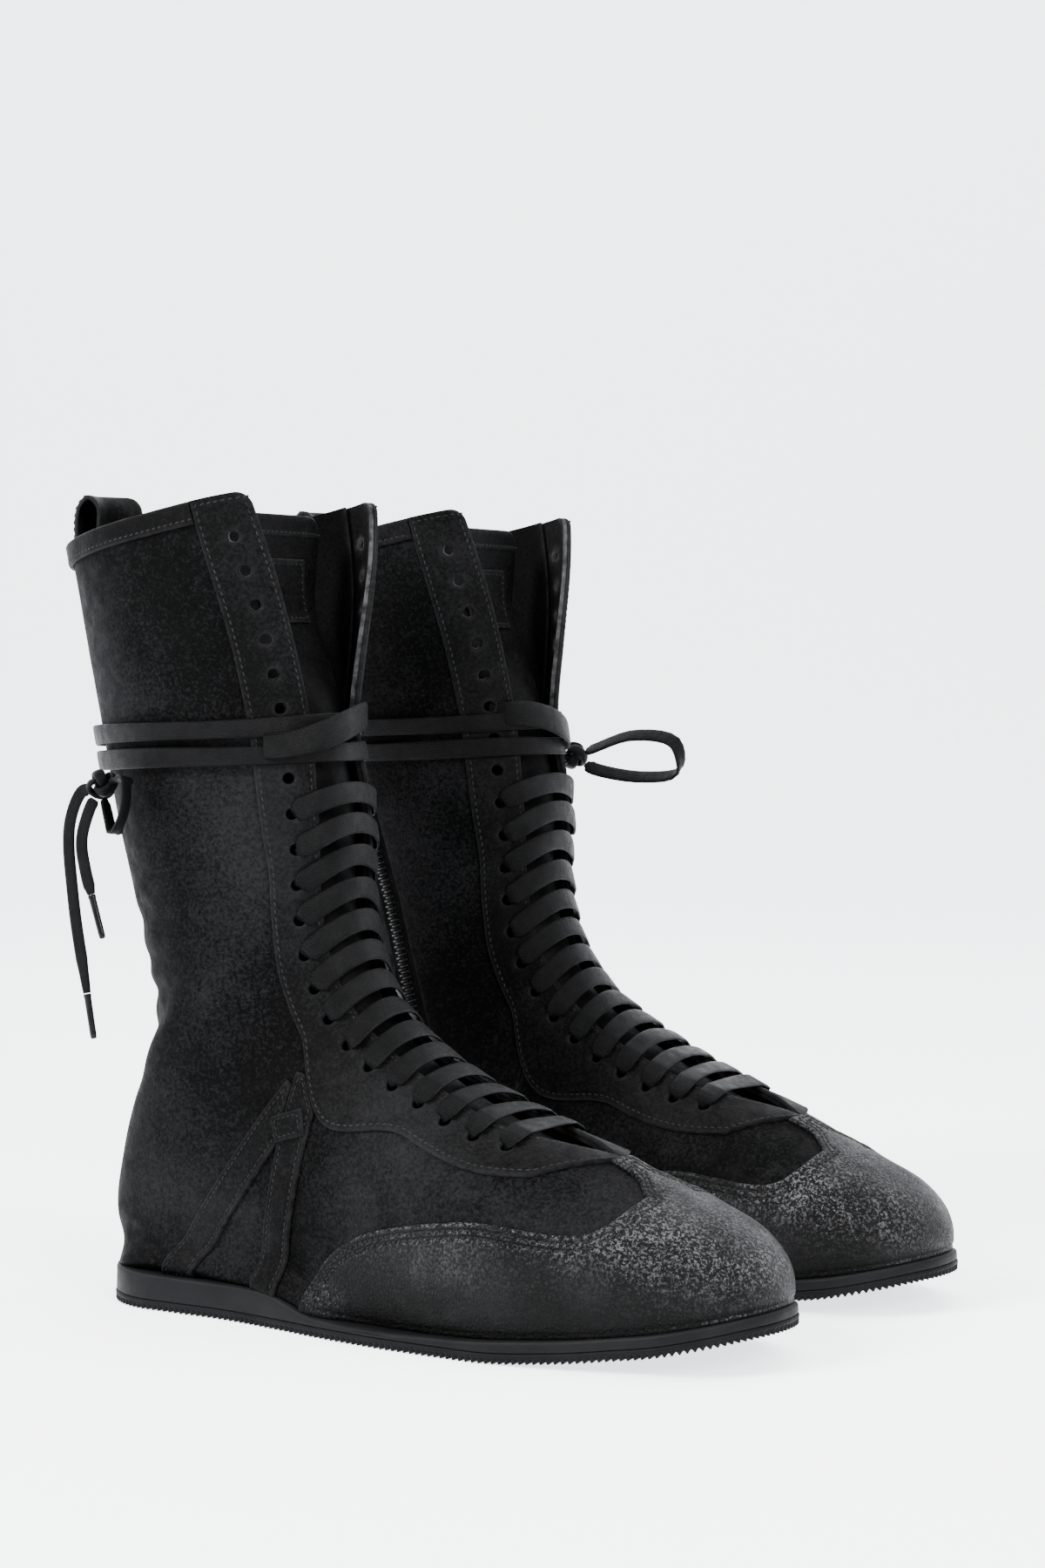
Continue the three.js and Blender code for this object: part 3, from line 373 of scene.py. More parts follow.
def clip(att, tris, level, both=False):
    """Cuts triangles along field = level; keeps the part above it, or both parts."""
    g = att[:, FLD] - level
    g[np.abs(g) < 0.03] = 0.0
    inside = g >= 0
    if both:
        crossing = (g[tris].min(1) < 0) & (g[tris].max(1) > 0)
        keep, cut = tris[~crossing], tris[crossing]
    else:
        count = inside[tris].sum(1)
        keep, cut = tris[(count == 3) & (g[tris].max(1) > 0)], tris[(count > 0) & (count < 3)]
    new, made, out = [], {}, []

    def point(a, b):
        key = (a, b) if a < b else (b, a)
        if key not in made:
            t = g[a] / (g[a] - g[b])
            made[key] = len(att) + len(new)
            new.append(att[a] + t * (att[b] - att[a]))
        return made[key]

    for tri in cut.tolist():
        high, low = [], []
        for k in range(3):
            a, b = tri[k], tri[(k + 1) % 3]
            (high if inside[a] else low).append(a)
            if inside[a] != inside[b]:
                if g[a] == 0:
                    low.append(a)
                elif g[b] == 0:
                    low.append(b)
                else:
                    m = point(a, b)
                    high.append(m)
                    low.append(m)
        for poly in ((high, low) if both else (high,)):
            poly = list(dict.fromkeys(poly))
            out += [(poly[0], poly[k], poly[k + 1]) for k in range(1, len(poly) - 1)]
    att = np.concatenate([att, np.array(new)]) if new else att
    tris = np.concatenate([keep, np.array(out, int)]) if out else keep
    used, back = np.unique(tris, return_inverse=True)
    return att[used], back.reshape(-1, 3)


def with_field(part, f):
    att, tris = part
    att = att.copy()
    att[:, FLD] = f
    return att, tris


# ---- fields, in millimetres, positive where the piece is ----
def above_sole(att, sink=2.5):
    """Height over the sole's top; the foot of a piece goes sink below it."""
    return att[:, 2] - sole_top(att[:, 0]) + sink


def outside_throat(att):
    s, d = att[:, SEC], np.abs(att[:, DIS])
    return np.where(s < THROAT_TIP, att[:, 0] - THROAT_TIP_X + 2, d - under_edge(s))


def polyline_distance(x, z, line):
    best = np.full(x.shape, 1e9)
    for (x0, z0), (x1, z1) in zip(line[:-1], line[1:]):
        dx, dz = x1 - x0, z1 - z0
        t = np.clip(((x - x0) * dx + (z - z0) * dz) / (dx * dx + dz * dz), 0, 1)
        best = np.minimum(best, np.hypot(x - x0 - t * dx, z - z0 - t * dz))
    return best


def catmull(points, count):
    """Centripetal Catmull-Rom through points, at count even steps of its own parameter."""
    p = np.array(points, float)
    p = np.concatenate([[2 * p[0] - p[1]], p, [2 * p[-1] - p[-2]]])
    out = []
    spans_here = len(p) - 3
    for t in np.linspace(0, spans_here, count):
        i = min(int(t), spans_here - 1)
        u = t - i
        a, b, c, d = p[i:i + 4]
        k = [max(np.linalg.norm(y - x), 1e-6)**0.5 for x, y in ((a, b), (b, c), (c, d))]
        m1 = ((b - a) / k[0] - (c - a) / (k[0] + k[1]) + (c - b) / k[1]) * k[1]
        m2 = ((c - b) / k[1] - (d - b) / (k[1] + k[2]) + (d - c) / k[2]) * k[1]
        out.append((2*u**3 - 3*u**2 + 1) * b + (u**3 - 2*u**2 + u) * m1
                   + (3*u**2 - 2*u**3) * c + (u**3 - u**2) * m2)
    return np.array(out)


SEAM = [(88, -20), (112, 88), (134, 135), (150, 160)]


def ahead_of_seam(att):
    x, z = att[:, 0], att[:, 2]
    line = np.interp(z, [p[1] for p in SEAM], [p[0] for p in SEAM])
    return np.sign(x - line) * polyline_distance(x, z, SEAM)


def off_zip(att):
    x, z, y = att[:, 0], att[:, 2], att[:, 1]
    f = polyline_distance(x, z, [ZIP_LOW, ZIP_TOP]) - ZIP_TAPE_WIDTH / 2 + 1.2
    return np.where(y > 0, f, 50.0)


CAP_EDGE = [tuple(point) for point in catmull(
    [(112, 0), (116, 18), (136, 37), (190, 49.5), (240, 49), (249, 60), (250, 75)], 70)]


def on_cap(att):
    x, y, z = att[:, 0], att[:, 1], att[:, 2]
    inside = z < np.interp(x, [p[0] for p in CAP_EDGE], [p[1] for p in CAP_EDGE], left=-99, right=99)
    f = np.where(inside, 1, -1) * polyline_distance(x, z, CAP_EDGE)
    wide = 7.0 + 9.0 * smooth((x - 238) / 14)
    return np.maximum(f, np.minimum(np.minimum(wide - np.abs(y - 4), x - 228.5), 268 - x))


def in_strap(att, top, foot, width):
    x, z = att[:, 0], att[:, 2]
    dx, dz = foot[0] - top[0], foot[1] - top[1]
    long = math.hypot(dx, dz)
    u, v = dx / long, dz / long
    along = (x - top[0]) * u + (z - top[1]) * v
    across = (x - top[0]) * -v + (z - top[1]) * u
    return np.minimum(width / 2 - np.abs(across), along)


# ---- meshes ----
class Stock:
    """Faces and points gathered for one object."""

    def __init__(self):
        self.points, self.faces, self.count, self.uv, self.rim, self.sharp = [], [], 0, [], [], []

    def add(self, points, faces, uv=None, rim=None, sharp=()):
        points = np.asarray(points, float)
        self.points.append(points)
        self.faces += [tuple(i + self.count for i in f) for f in faces]
        self.sharp += [(a + self.count, b + self.count) for a, b in sharp]
        self.uv.append(np.zeros((len(points), 2)) if uv is None else np.asarray(uv, float))
        self.rim.append(np.zeros(len(points)) if rim is None else np.asarray(rim, float))
        self.count += len(points)


def make(stock, name, side, mat, slot, node=None, body=None):
    """One named object from a stock, riding on its body and standing for its CAD node."""
    p = to_row(np.concatenate(stock.points), side)
    faces = [f[::-1] for f in stock.faces] if side == "left" else stock.faces
    mesh = bpy.data.meshes.new(name)
    mesh.from_pydata(p.tolist(), [], faces)
    mesh.shade_smooth()
    if stock.sharp:
        edges = np.zeros(len(mesh.edges) * 2, int)
        mesh.edges.foreach_get("vertices", edges)
        edges = np.sort(edges.reshape(-1, 2), axis=1)
        marked = np.sort(np.array(stock.sharp), axis=1)
        n = len(p)
        mesh.attributes.new("sharp_edge", "BOOLEAN", "EDGE").data.foreach_set(
            "value", np.isin(edges[:, 0] * n + edges[:, 1], marked[:, 0] * n + marked[:, 1]))
    rim = np.concatenate(stock.rim).astype(np.float32)
    mesh.attributes.new("rim", "FLOAT", "POINT").data.foreach_set("value", rim)
    uv = np.concatenate(stock.uv)
    if np.any(uv):
        loops = np.zeros(len(mesh.loops), int)
        mesh.loops.foreach_get("vertex_index", loops)
        mesh.uv_layers.new(name="weave").data.foreach_set("uv", uv[loops].ravel())
    mesh.materials.append(mat)
    obj = bpy.data.objects.new(name, mesh)
    bpy.context.scene.collection.objects.link(obj)
    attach(obj, body or side + "_boot")
    if node:
        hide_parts(side + "_" + node)
    return obj


def boundary(tris):
    edges = np.concatenate([tris[:, [0, 1]], tris[:, [1, 2]], tris[:, [2, 0]]])
    key = np.sort(edges, axis=1)
    _, first, count = np.unique(key, axis=0, return_index=True, return_counts=True)
    return edges[first[count == 1]]


def shell(stock, part, low, high, edge=1.2, drop=0.7, groove=(), base=None, rim_width=0.9):
    """A closed leather piece between two offsets from the skin, its outer edge rounded over."""
    att, tris = clip(*part, 0.0)
    for level in (0.25 * edge, 0.6 * edge, edge):
        att, tris = clip(att, tris, level, both=True)
    for at in groove:
        for level in (at - 0.9, at, at + 0.9):
            att, tris = clip(att, tris, level, both=True)
    a, b, c = (att[tris[:, k], POS] for k in range(3))
    facing = np.cross(b - a, c - a)
    wrong = np.einsum("ij,ij->i", facing, att[tris[:, 0], NRM]) < 0
    tris[wrong] = tris[wrong][:, ::-1]
    f = att[:, FLD]
    t = 1 - np.clip(f / edge, 0, 1)
    outer = high - drop * (1 - np.sqrt(np.clip(1 - t * t, 0, 1)))
    for at in groove:
        outer = outer - 0.42 * np.exp(-((f - at) / 0.75)**2)
    centre = att[:, POS] if base is None else base(att)
    n = att[:, NRM]
    points = np.concatenate([centre + n * outer[:, None], centre + n * low])
    k = len(att)
    ends = boundary(tris)
    faces = [tuple(t) for t in tris.tolist()] + [(c + k, b + k, a + k) for a, b, c in tris.tolist()]
    faces += [(b, a, a + k, b + k) for a, b in ends.tolist()]
    rim = np.exp(-np.maximum(f, 0) / rim_width)
    sharp = [(a, b) for a, b in ends.tolist()] + [(a + k, b + k) for a, b in ends.tolist()]
    stock.add(points, faces, rim=np.concatenate([rim, rim]), sharp=sharp)
    return att, tris


def isolines(att, tris, level):
    """Chains of (position, normal) along field = level."""
    g = att[:, FLD] - level
    g[np.abs(g) < 1e-6] = 1e-6
    s = g[tris] > 0
    rows = tris[(s.any(1)) & (~s.all(1))]
    points, made, links = [], {}, {}
    for tri in rows.tolist():
        ends = []
        for k in range(3):
            a, b = sorted((tri[k], tri[(k + 1) % 3]))
            if (g[a] > 0) != (g[b] > 0):
                if (a, b) not in made:
                    made[a, b] = len(points)
                    points.append(att[a] + g[a] / (g[a] - g[b]) * (att[b] - att[a]))
                ends.append(made[a, b])
        links.setdefault(ends[0], []).append(ends[1])
        links.setdefault(ends[1], []).append(ends[0])
    lines, seen = [], set()
    for start in sorted(links, key=lambda i: len(links[i])):
        if start in seen:
            continue
        line, here = [start], start
        seen.add(start)
        while True:
            after = [i for i in links[here] if i not in seen]
            if not after:
                break
            here = after[0]
            seen.add(here)
            line.append(here)
        if len(links[start]) > 1 and start in links[here]:
            line.append(start)
        lines.append(np.array([points[i] for i in line]))
    return lines


def resample(line, pitch, shift=0.5):
    p = line[:, POS]
    if len(p) < 3:
        return None
    gone = gone_along(p)
    if gone[-1] < 2 * pitch:
        return None
    at = (np.arange(int(gone[-1] / pitch)) + shift) * pitch
    return np.stack([np.interp(at, gone, line[:, k]) for k in range(line.shape[1])], axis=1)


def sew(stock, line, off, pitch=3.0, long=2.15, radius=0.42):
    """Raised stitches along a line on the skin."""
    fine = resample(line, pitch)
    if fine is None:
        return
    p = fine[:, POS]
    way, n = unit(np.gradient(p, axis=0)), unit(fine[:, NRM])
    wide = np.cross(n, way)
    # Place along the stitch, size and height of each ring
    rings = [(-0.5, 0.5, -0.50), (-0.36, 1.0, -0.20), (0, 1.0, -0.06), (0.36, 1.0, -0.20), (0.5, 0.5, -0.50)]
    faces = tube_faces(len(rings), 6)
    for i in range(len(p)):
        slant = 0.10 * wide[i]
        points = []
        for along, size, up in rings:
            centre = p[i] + (way[i] + slant) * along * long + n[i] * (off + up)
            for k in range(6):
                a = k * math.pi / 3
                points.append(centre + radius * size * (math.cos(a) * wide[i] + math.sin(a) * n[i]))
        stock.add(points, faces)


def sew_along(stock, att, tris, level, off, least=12, over_sole=False, **stitch):
    """Stitches along every line of field = level that is longer than least."""
    for line in isolines(att, tris, level):
        if gone_along(line[:, POS])[-1] <= least:
            continue
        if over_sole:
            line = line[line[:, 2] > sole_top(line[:, 0]) + 1.5]
        if len(line) > (5 if over_sole else 0):
            sew(stock, line, off, **stitch)


def lens_ring(width, thick, count=14, power=2.6):
    """A flat rounded cross-section; a higher power makes it squarer."""
    a = np.linspace(0, 2 * math.pi, count, endpoint=False)
    c, s = np.cos(a), np.sin(a)
    return np.stack([np.sign(c) * np.abs(c)**(2 / power) * width / 2,
                     np.sign(s) * np.abs(s)**(2 / max(2.0, power - 1.5)) * thick / 2], axis=1)


def sweep(stock, points, outs, widths, thicks, count=14, closed=False, uv_start=0.0, power=2.6):
    """A flat band with rounded edges swept along points, with its own widths and outward directions."""
    p = np.asarray(points, float)
    way = unit(np.gradient(p, axis=0))
    outs = np.asarray(outs, float)
    outs = unit(outs - np.einsum("ij,ij->i", outs, way)[:, None] * way)
    wides = np.cross(way, outs)
    gone = uv_start + gone_along(p)
    verts, uv = [], []
    for i in range(len(p)):
        ring = lens_ring(widths[i], thicks[i], count, power)
        verts.append(p[i] + ring[:, :1] * wides[i] + ring[:, 1:] * outs[i])
        uv.append(np.stack([np.full(count, gone[i] / 10), ring[:, 0] / 10 + 0.5], axis=1))
    stock.add(np.concatenate(verts), tube_faces(len(p), count, closed), uv=np.concatenate(uv))


# ---- materials ----
def node_tree(name):
    mat = bpy.data.materials.new(name)
    mat.use_nodes = True
    tree = mat.node_tree
    return mat, tree, tree.nodes["Principled BSDF"]


class Nodes:
    """Short hands for building one material's nodes."""

    def __init__(self, tree):
        self.tree = tree
        self.object = self.new("ShaderNodeTexCoord").outputs["Object"]

    def new(self, kind, **values):
        node = self.tree.nodes.new(kind)
        for key, value in values.items():
            if key in node.inputs:
                node.inputs[key].default_value = value
            else:
                setattr(node, key, value)
        return node

    def link(self, a, b):
        self.tree.links.new(a, b)

    def noise(self, scale, detail=4.0, rough=0.55, distortion=0.0, vector=None):
        n = self.new("ShaderNodeTexNoise", Scale=scale, Detail=detail, Roughness=rough, Distortion=distortion)
        self.link(vector or self.object, n.inputs["Vector"])
        return n.outputs["Fac"]

    def voronoi(self, scale, feature="F1", vector=None, randomness=1.0):
        n = self.new("ShaderNodeTexVoronoi", Scale=scale, feature=feature, Randomness=randomness)
        self.link(vector or self.object, n.inputs["Vector"])
        return n.outputs["Distance"]

    def ramp(self, fac, low, high, a=0.0, b=1.0):
        n = self.new("ShaderNodeMapRange")
        n.inputs["From Min"].default_value, n.inputs["From Max"].default_value = low, high
        n.inputs["To Min"].default_value, n.inputs["To Max"].default_value = a, b
        self.link(fac, n.inputs["Value"])
        return n.outputs["Result"]

    def math(self, kind, a, b=None):
        n = self.new("ShaderNodeMath", operation=kind)
        for socket, value in zip(n.inputs, (a, b)):
            if value is None:
                continue
            if isinstance(value, (int, float)):
                socket.default_value = value
            else:
                self.link(value, socket)
        return n.outputs[0]

    def mix(self, fac, a, b):
        n = self.new("ShaderNodeMix", data_type="RGBA")
        self.link(fac, n.inputs["Factor"])
        for socket, value in ((n.inputs["A"], a), (n.inputs["B"], b)):
            if isinstance(value, tuple):
                socket.default_value = (*value, 1)
            else:
                self.link(value, socket)
        return n.outputs["Result"]

    def bump(self, height, strength, distance, normal=None):
        n = self.new("ShaderNodeBump", Strength=strength, Distance=distance)
        self.link(height, n.inputs["Height"])
        if normal is not None:
            self.link(normal, n.inputs["Normal"])
        return n.outputs["Normal"]

    def attribute(self, name):
        return self.new("ShaderNodeAttribute", attribute_name=name).outputs["Fac"]


def leather(name, dark, pale, rough, shine=0.05, sheen=0.0, crackle=0.0, rim_wear_and_highlight=(0.02, 0.02, 0.021), rim=0.35,
            cloud=11.0, free_edge_highlight=False):
    """Waxed leather: slow tone changes, a speckled nap, worn rims, a painted highlight along a free top edge, and
    crackle where the wax has broken, with painted glints on its crown.
    """
    mat, tree, bsdf = node_tree(name)
    n = Nodes(tree)
    slow = n.ramp(n.noise(cloud, 2, 0.5, 0.6), 0.38, 0.70, -0.15, 0.62)
    rubbed = n.ramp(n.noise(cloud * 5, 5, 0.68, 0.8), 0.50, 0.70, 0.0, 0.22)
    speckle = n.noise(720, 3, 0.8)
    nap = n.noise(2800, 2, 0.6)
    tone = n.math("ADD", n.math("ADD", slow, rubbed), n.ramp(speckle, 0.38, 0.68, -0.25, 0.60))
    colour = n.mix(tone, dark, pale)
    edge = n.math("MULTIPLY", n.attribute("rim"), n.ramp(n.noise(260, 4), 0.35, 0.65, 0.1, rim))
    # Painted highlight: on a free edge, the pale rim colour is kept only high up, where the edge catches the
    # light
    if free_edge_highlight:
        split = n.new("ShaderNodeSeparateXYZ")
        n.link(n.object, split.inputs[0])
        edge = n.math("MULTIPLY", edge, n.ramp(split.outputs[2], 0.226, 0.242, 0.03, 1.0))
    colour = n.mix(edge, colour, rim_wear_and_highlight)
    height = n.math("ADD", n.math("MULTIPLY", nap, 0.4), n.math("MULTIPLY", speckle, 0.8))
    normal = n.bump(height, 0.45, 0.0004)
    normal = n.bump(n.noise(70, 3), 0.22, 0.0020, normal)
    roughness = n.ramp(n.noise(140, 4, 0.6), 0.3, 0.7, rough[0], rough[1])
    if crackle:
        warped = n.new("ShaderNodeVectorMath", operation="ADD")
        swirl = n.new("ShaderNodeTexNoise", Scale=420, Detail=3)
        n.link(n.object, swirl.inputs["Vector"])
        small = n.new("ShaderNodeVectorMath", operation="SCALE", Scale=0.0011)
        n.link(swirl.outputs["Color"], small.inputs[0])
        n.link(n.object, warped.inputs[0])
        n.link(small.outputs[0], warped.inputs[1])
        cells = n.ramp(n.voronoi(520, "DISTANCE_TO_EDGE", warped.outputs[0]), 0.0, 0.16)
        fine = n.ramp(n.voronoi(1050, "DISTANCE_TO_EDGE", warped.outputs[0]), 0.0, 0.20, 0.3, 1.0)
        broken = n.ramp(n.noise(26, 4, 0.62, 0.5), 0.36, 0.58, 0.30, 1.0)
        crack = n.math("MULTIPLY", n.math("SUBTRACT", 1.0, n.math("MINIMUM", cells, fine)), broken)
        # Painted glints: on the upward-facing crown, pale specks in the base colour stand for highlights off
        # flakes of wax, between dull broken patches
        facing = n.new("ShaderNodeSeparateXYZ")
        n.link(n.new("ShaderNodeTexCoord").outputs["Normal"], facing.inputs[0])
        glint_mask = n.math("MULTIPLY", n.ramp(facing.outputs[2], -0.10, 0.50),
                       n.ramp(n.noise(17, 3, 0.6, 0.6), 0.36, 0.62, 0.12))
        painted_glints = n.math("MULTIPLY", n.ramp(n.noise(820, 2, 0.8), 0.50, 0.57), glint_mask)
        colour = n.mix(painted_glints, colour, (0.085, 0.085, 0.088))
        colour = n.mix(crack, colour, (0.0003, 0.0003, 0.0003))
        flat = n.math("SUBTRACT", 1.0, crack)
        normal = n.bump(flat, crackle, 0.0006, normal)
        normal = n.bump(n.noise(820, 2, 0.8), 0.75, 0.0010, normal)
        roughness = n.math("ADD", roughness, n.math("MULTIPLY", crack, 0.35))
    n.link(colour, bsdf.inputs["Base Color"])
    n.link(roughness, bsdf.inputs["Roughness"])
    n.link(normal, bsdf.inputs["Normal"])
    bsdf.inputs["Specular IOR Level"].default_value = shine
    bsdf.inputs["Sheen Weight"].default_value = sheen
    bsdf.inputs["Sheen Roughness"].default_value = 0.45
    bsdf.inputs["Sheen Tint"].default_value = (0.75, 0.77, 0.8, 1)
    return mat


def woven(name, dark, pale, rough, across=0.085, along=0.075, depth=0.0003, shine=0.2):
    """Flat woven lace or tape: the weave follows the uv, which counts centimetres along the band."""
    mat, tree, bsdf = node_tree(name)
    n = Nodes(tree)
    uv = n.new("ShaderNodeUVMap", uv_map="weave").outputs["UV"]
    split = n.new("ShaderNodeSeparateXYZ")
    n.link(uv, split.inputs[0])
    u, v = split.outputs[0], split.outputs[1]
    slant, turns = n.math("MULTIPLY", v, 0.9), 2 * math.pi / along
    a, b = (n.math("SINE", n.math("MULTIPLY", n.math(kind, u, slant), turns)) for kind in ("ADD", "SUBTRACT"))
    rib = n.math("ABSOLUTE", n.math("SINE", n.math("MULTIPLY", v, math.pi / across)))
    weave = n.math("MULTIPLY", n.math("MAXIMUM", a, b), rib)
    tone = n.math("ADD", n.ramp(weave, -0.2, 1.0, 0, 0.65), n.ramp(n.noise(160, 5), 0.35, 0.65, 0, 0.5))
    n.link(n.mix(tone, dark, pale), bsdf.inputs["Base Color"])
    normal = n.bump(weave, 0.7, depth)
    n.link(n.bump(n.noise(2100, 3), 0.25, 0.0002, normal), bsdf.inputs["Normal"])
    n.link(n.ramp(n.noise(210, 5), 0.3, 0.7, rough[0], rough[1]), bsdf.inputs["Roughness"])
    bsdf.inputs["Specular IOR Level"].default_value = shine
    return mat


def plain(name, dark, pale, rough, grain=900.0, strength=0.3, metallic=0.0, cloud=60.0, rim=0.2, shine=0.5):
    """A moulded or metal surface: cloudy tone, fine grain and paler rims."""
    mat, tree, bsdf = node_tree(name)
    n = Nodes(tree)
    tone = n.math("ADD", n.ramp(n.noise(cloud, 5, 0.6), 0.35, 0.65, 0, 0.7),
                  n.ramp(n.noise(grain, 3), 0.3, 0.7, 0, 0.3))
    colour = n.mix(tone, dark, pale)
    colour = n.mix(n.math("MULTIPLY", n.attribute("rim"), rim), colour, (0.10, 0.10, 0.104))
    n.link(colour, bsdf.inputs["Base Color"])
    n.link(n.bump(n.noise(grain, 4), strength, 0.0002), bsdf.inputs["Normal"])
    n.link(n.ramp(n.noise(cloud * 4, 5), 0.3, 0.7, rough[0], rough[1]), bsdf.inputs["Roughness"])
    bsdf.inputs["Metallic"].default_value = metallic
    bsdf.inputs["Specular IOR Level"].default_value = shine
    return mat


SUEDE = leather("waxed_suede", (0.0002, 0.0002, 0.00022), (0.0072, 0.0073, 0.0078), (0.50, 0.78), 0.022,
                0.003)
STRIP = leather("strip_suede", (0.0003, 0.0003, 0.0003), (0.0052, 0.0053, 0.0056), (0.46, 0.70), 0.03,
                0.002, rim=0.3)
BAND = leather("strap_suede", (0.0004, 0.0004, 0.0004), (0.0056, 0.0057, 0.0060), (0.50, 0.72), 0.028,
               0.002)
CAP = leather("cracked_wax", (0.0003, 0.0003, 0.0003), (0.0032, 0.0033, 0.0035), (0.26, 0.42), 0.075,
              crackle=0.9, cloud=20, rim_wear_and_highlight=(0.012, 0.012, 0.0125))
# The strip backing's pale top rim is a painted highlight where its free edge catches the light, over a little
# real rim wear lower down
RAW = leather("raw_edge_leather", (0.0008, 0.0008, 0.0008), (0.0045, 0.0045, 0.0047), (0.6, 0.85), 0.03,
              rim=0.8, rim_wear_and_highlight=(0.050, 0.050, 0.052), free_edge_highlight=True)
LINER = leather("lining_leather", (0.0003, 0.0003, 0.0003), (0.0020, 0.0020, 0.0022), (0.6, 0.85), 0.02)
TONGUE = leather("tongue_leather", (0.0003, 0.0003, 0.0003), (0.0030, 0.0030, 0.0032), (0.42, 0.66), 0.035)
BOARD = plain("fibre_board", (0.0012, 0.0010, 0.0008), (0.0040, 0.0034, 0.0028), (0.75, 0.92), grain=1500,
              shine=0.05, rim=0.0)
SOLE = plain("sole_rubber", (0.0026, 0.0027, 0.0030), (0.0050, 0.0051, 0.0056), (0.50, 0.66), grain=1400,
             strength=0.2, shine=0.055, rim=0.03)
TREAD = plain("tread_rubber", (0.0018, 0.0019, 0.0021), (0.0038, 0.0039, 0.0043), (0.55, 0.72), grain=1400,
              strength=0.2, shine=0.05, rim=0.03)
THREAD = plain("thread", (0.0030, 0.0030, 0.0031), (0.0110, 0.0110, 0.0114), (0.5, 0.75), grain=4200,
               strength=0.5, shine=0.08, rim=0)
LACE = woven("waxed_lace", (0.0002, 0.0002, 0.00022), (0.0026, 0.0026, 0.0028), (0.30, 0.50), shine=0.05)
TAPE = woven("zip_tape_weave", (0.0004, 0.0004, 0.0004), (0.0030, 0.0030, 0.0032), (0.7, 0.9), across=0.06,
             along=0.06, shine=0.03)
TIP_LOOK = plain("lace_tip_plastic", (0.0012, 0.0012, 0.0012), (0.0036, 0.0036, 0.0038), (0.22, 0.36),
                 strength=0.1, shine=0.1)
METAL = plain("zip_metal", (0.04, 0.04, 0.042), (0.11, 0.11, 0.115), (0.25, 0.42), metallic=0.9,
              strength=0.15)

# ---- free lace ends, the same routes as the CAD model's ----
KNOT = {"right": (22, -47, 206), "left": (96, -36, 214)}
KNOT_SIZE = np.array([7, 4.5, 6.5])
GAP, TIP_LENGTH = 0.3, 18
LOOP_WIDTH, TAIL_WIDTH, RIBBON_THICK = 7.0, 5.2, 1.7
RIBBON_LIES = {"right": (0.25, -1.0, 0.1), "left": (0.0, -0.75, 0.65)}     # across the ribbon of each loop


def lace_end_routes(side):
    knot = np.array(KNOT[side], float)

    def leaving(*way):
        d = unit(np.array(way, float))
        reach = 1 / np.linalg.norm(d / KNOT_SIZE)
        return [knot + d * (reach + GAP + more) for more in (0, 4)]

    def off(*offset):
        return knot + np.array(offset, float)

    if side == "right":
        return {
            "lace_loop": [*leaving(1, -0.2, 0.2), off(18, -7, 2), off(20, -10, -9), off(14, -9, -18),
                          *leaving(0.5, -0.3, -1)[::-1]],
            "lace_tail_long": [*leaving(-1, 0, -0.3), off(-16, -1, -16), off(-14, -1, -46), off(-7, -1, -82)],
            "lace_tail_short": [*leaving(-0.5, -0.2, -1), off(-8, -3, -22), off(-6, -3, -34),
                                off(-3, -3, -43)]}
    return {"lace_loop": [*leaving(1, 0, 0.3), off(28, -4, 9), off(48, -6, 6), off(50, -6, -6),
                          off(32, -5, -9), *leaving(1, -0.2, -0.6)[::-1]]}


def build_knot(side):
    """A trefoil of lace, sized to the CAD knot."""
    stock = Stock()
    t = np.linspace(0, 2 * math.pi, 97)[:-1]
    r = 1.0 + 0.42 * np.cos(3 * t)
    outs = (np.stack([r * np.cos(2 * t), 0.62 * np.sin(3 * t), r * np.sin(2 * t)], axis=1)
            * (KNOT_SIZE - np.array([1.6, 1.3, 1.6])) / np.array([1.42, 0.62, 1.42]))
    sweep(stock, outs + np.array(KNOT[side]), outs, np.full(96, 4.6), np.full(96, 2.3), closed=True)
    return make(stock, side + "_knot_of_lace", side, LACE, "lace", "lace_knot")


def build_lace_end(side, name, route):
    """A loop or tail as a flat ribbon; a tail ends in a plastic tip."""
    tail = "tail" in name
    line = catmull(route, 34)
    count = len(line)
    tail_faces = (0.15, -1.0, 0.1)
    outs = same(tail_faces, count) if tail else np.cross(np.gradient(line, axis=0),
                                                         np.array(RIBBON_LIES[side]))
    full = TAIL_WIDTH if tail else LOOP_WIDTH
    wide = np.full(count, full)
    wide[:3] = 3.6, 4.3, full - 0.3
    wide[-3:] = (4.4, 3.9, 3.2) if tail else (full - 0.3, 4.3, 3.6)
    stock = Stock()
    sweep(stock, line, outs, wide, np.full(count, RIBBON_THICK), 18, power=4.0)
    piece = make(stock, f"{side}_{name}_woven", side, LACE, "lace", name)
    path = to_row(line, side)
    if tail:
        way = unit(line[-1] - line[-2])
        tip_name = name.replace("tail", "tip")
        along = (GAP, 1.0, 2.0, 9.0, 16.0, TIP_LENGTH - 0.4, TIP_LENGTH)
        size = np.array([3.1, 3.3, 2.9, 2.8, 2.7, 2.5, 1.7])
        stock = Stock()
        sweep(stock, np.array([line[-1] + way * d for d in along]), same(tail_faces, 7), size, size * 0.86,
              power=2.0)
        tip = make(stock, f"{side}_{tip_name}_sleeve", side, TIP_LOOK, "tip", tip_name)


for side in SIDES:
    knot = build_knot(side)
    for name, route in lace_end_routes(side).items():
        build_lace_end(side, name, route)

# ---- the leather pieces ----
WHOLE = whole_skin()
HALF_WHOLE = whole_skin(2)


def part_of(whole, f):
    return with_field(whole, f(whole[0]))


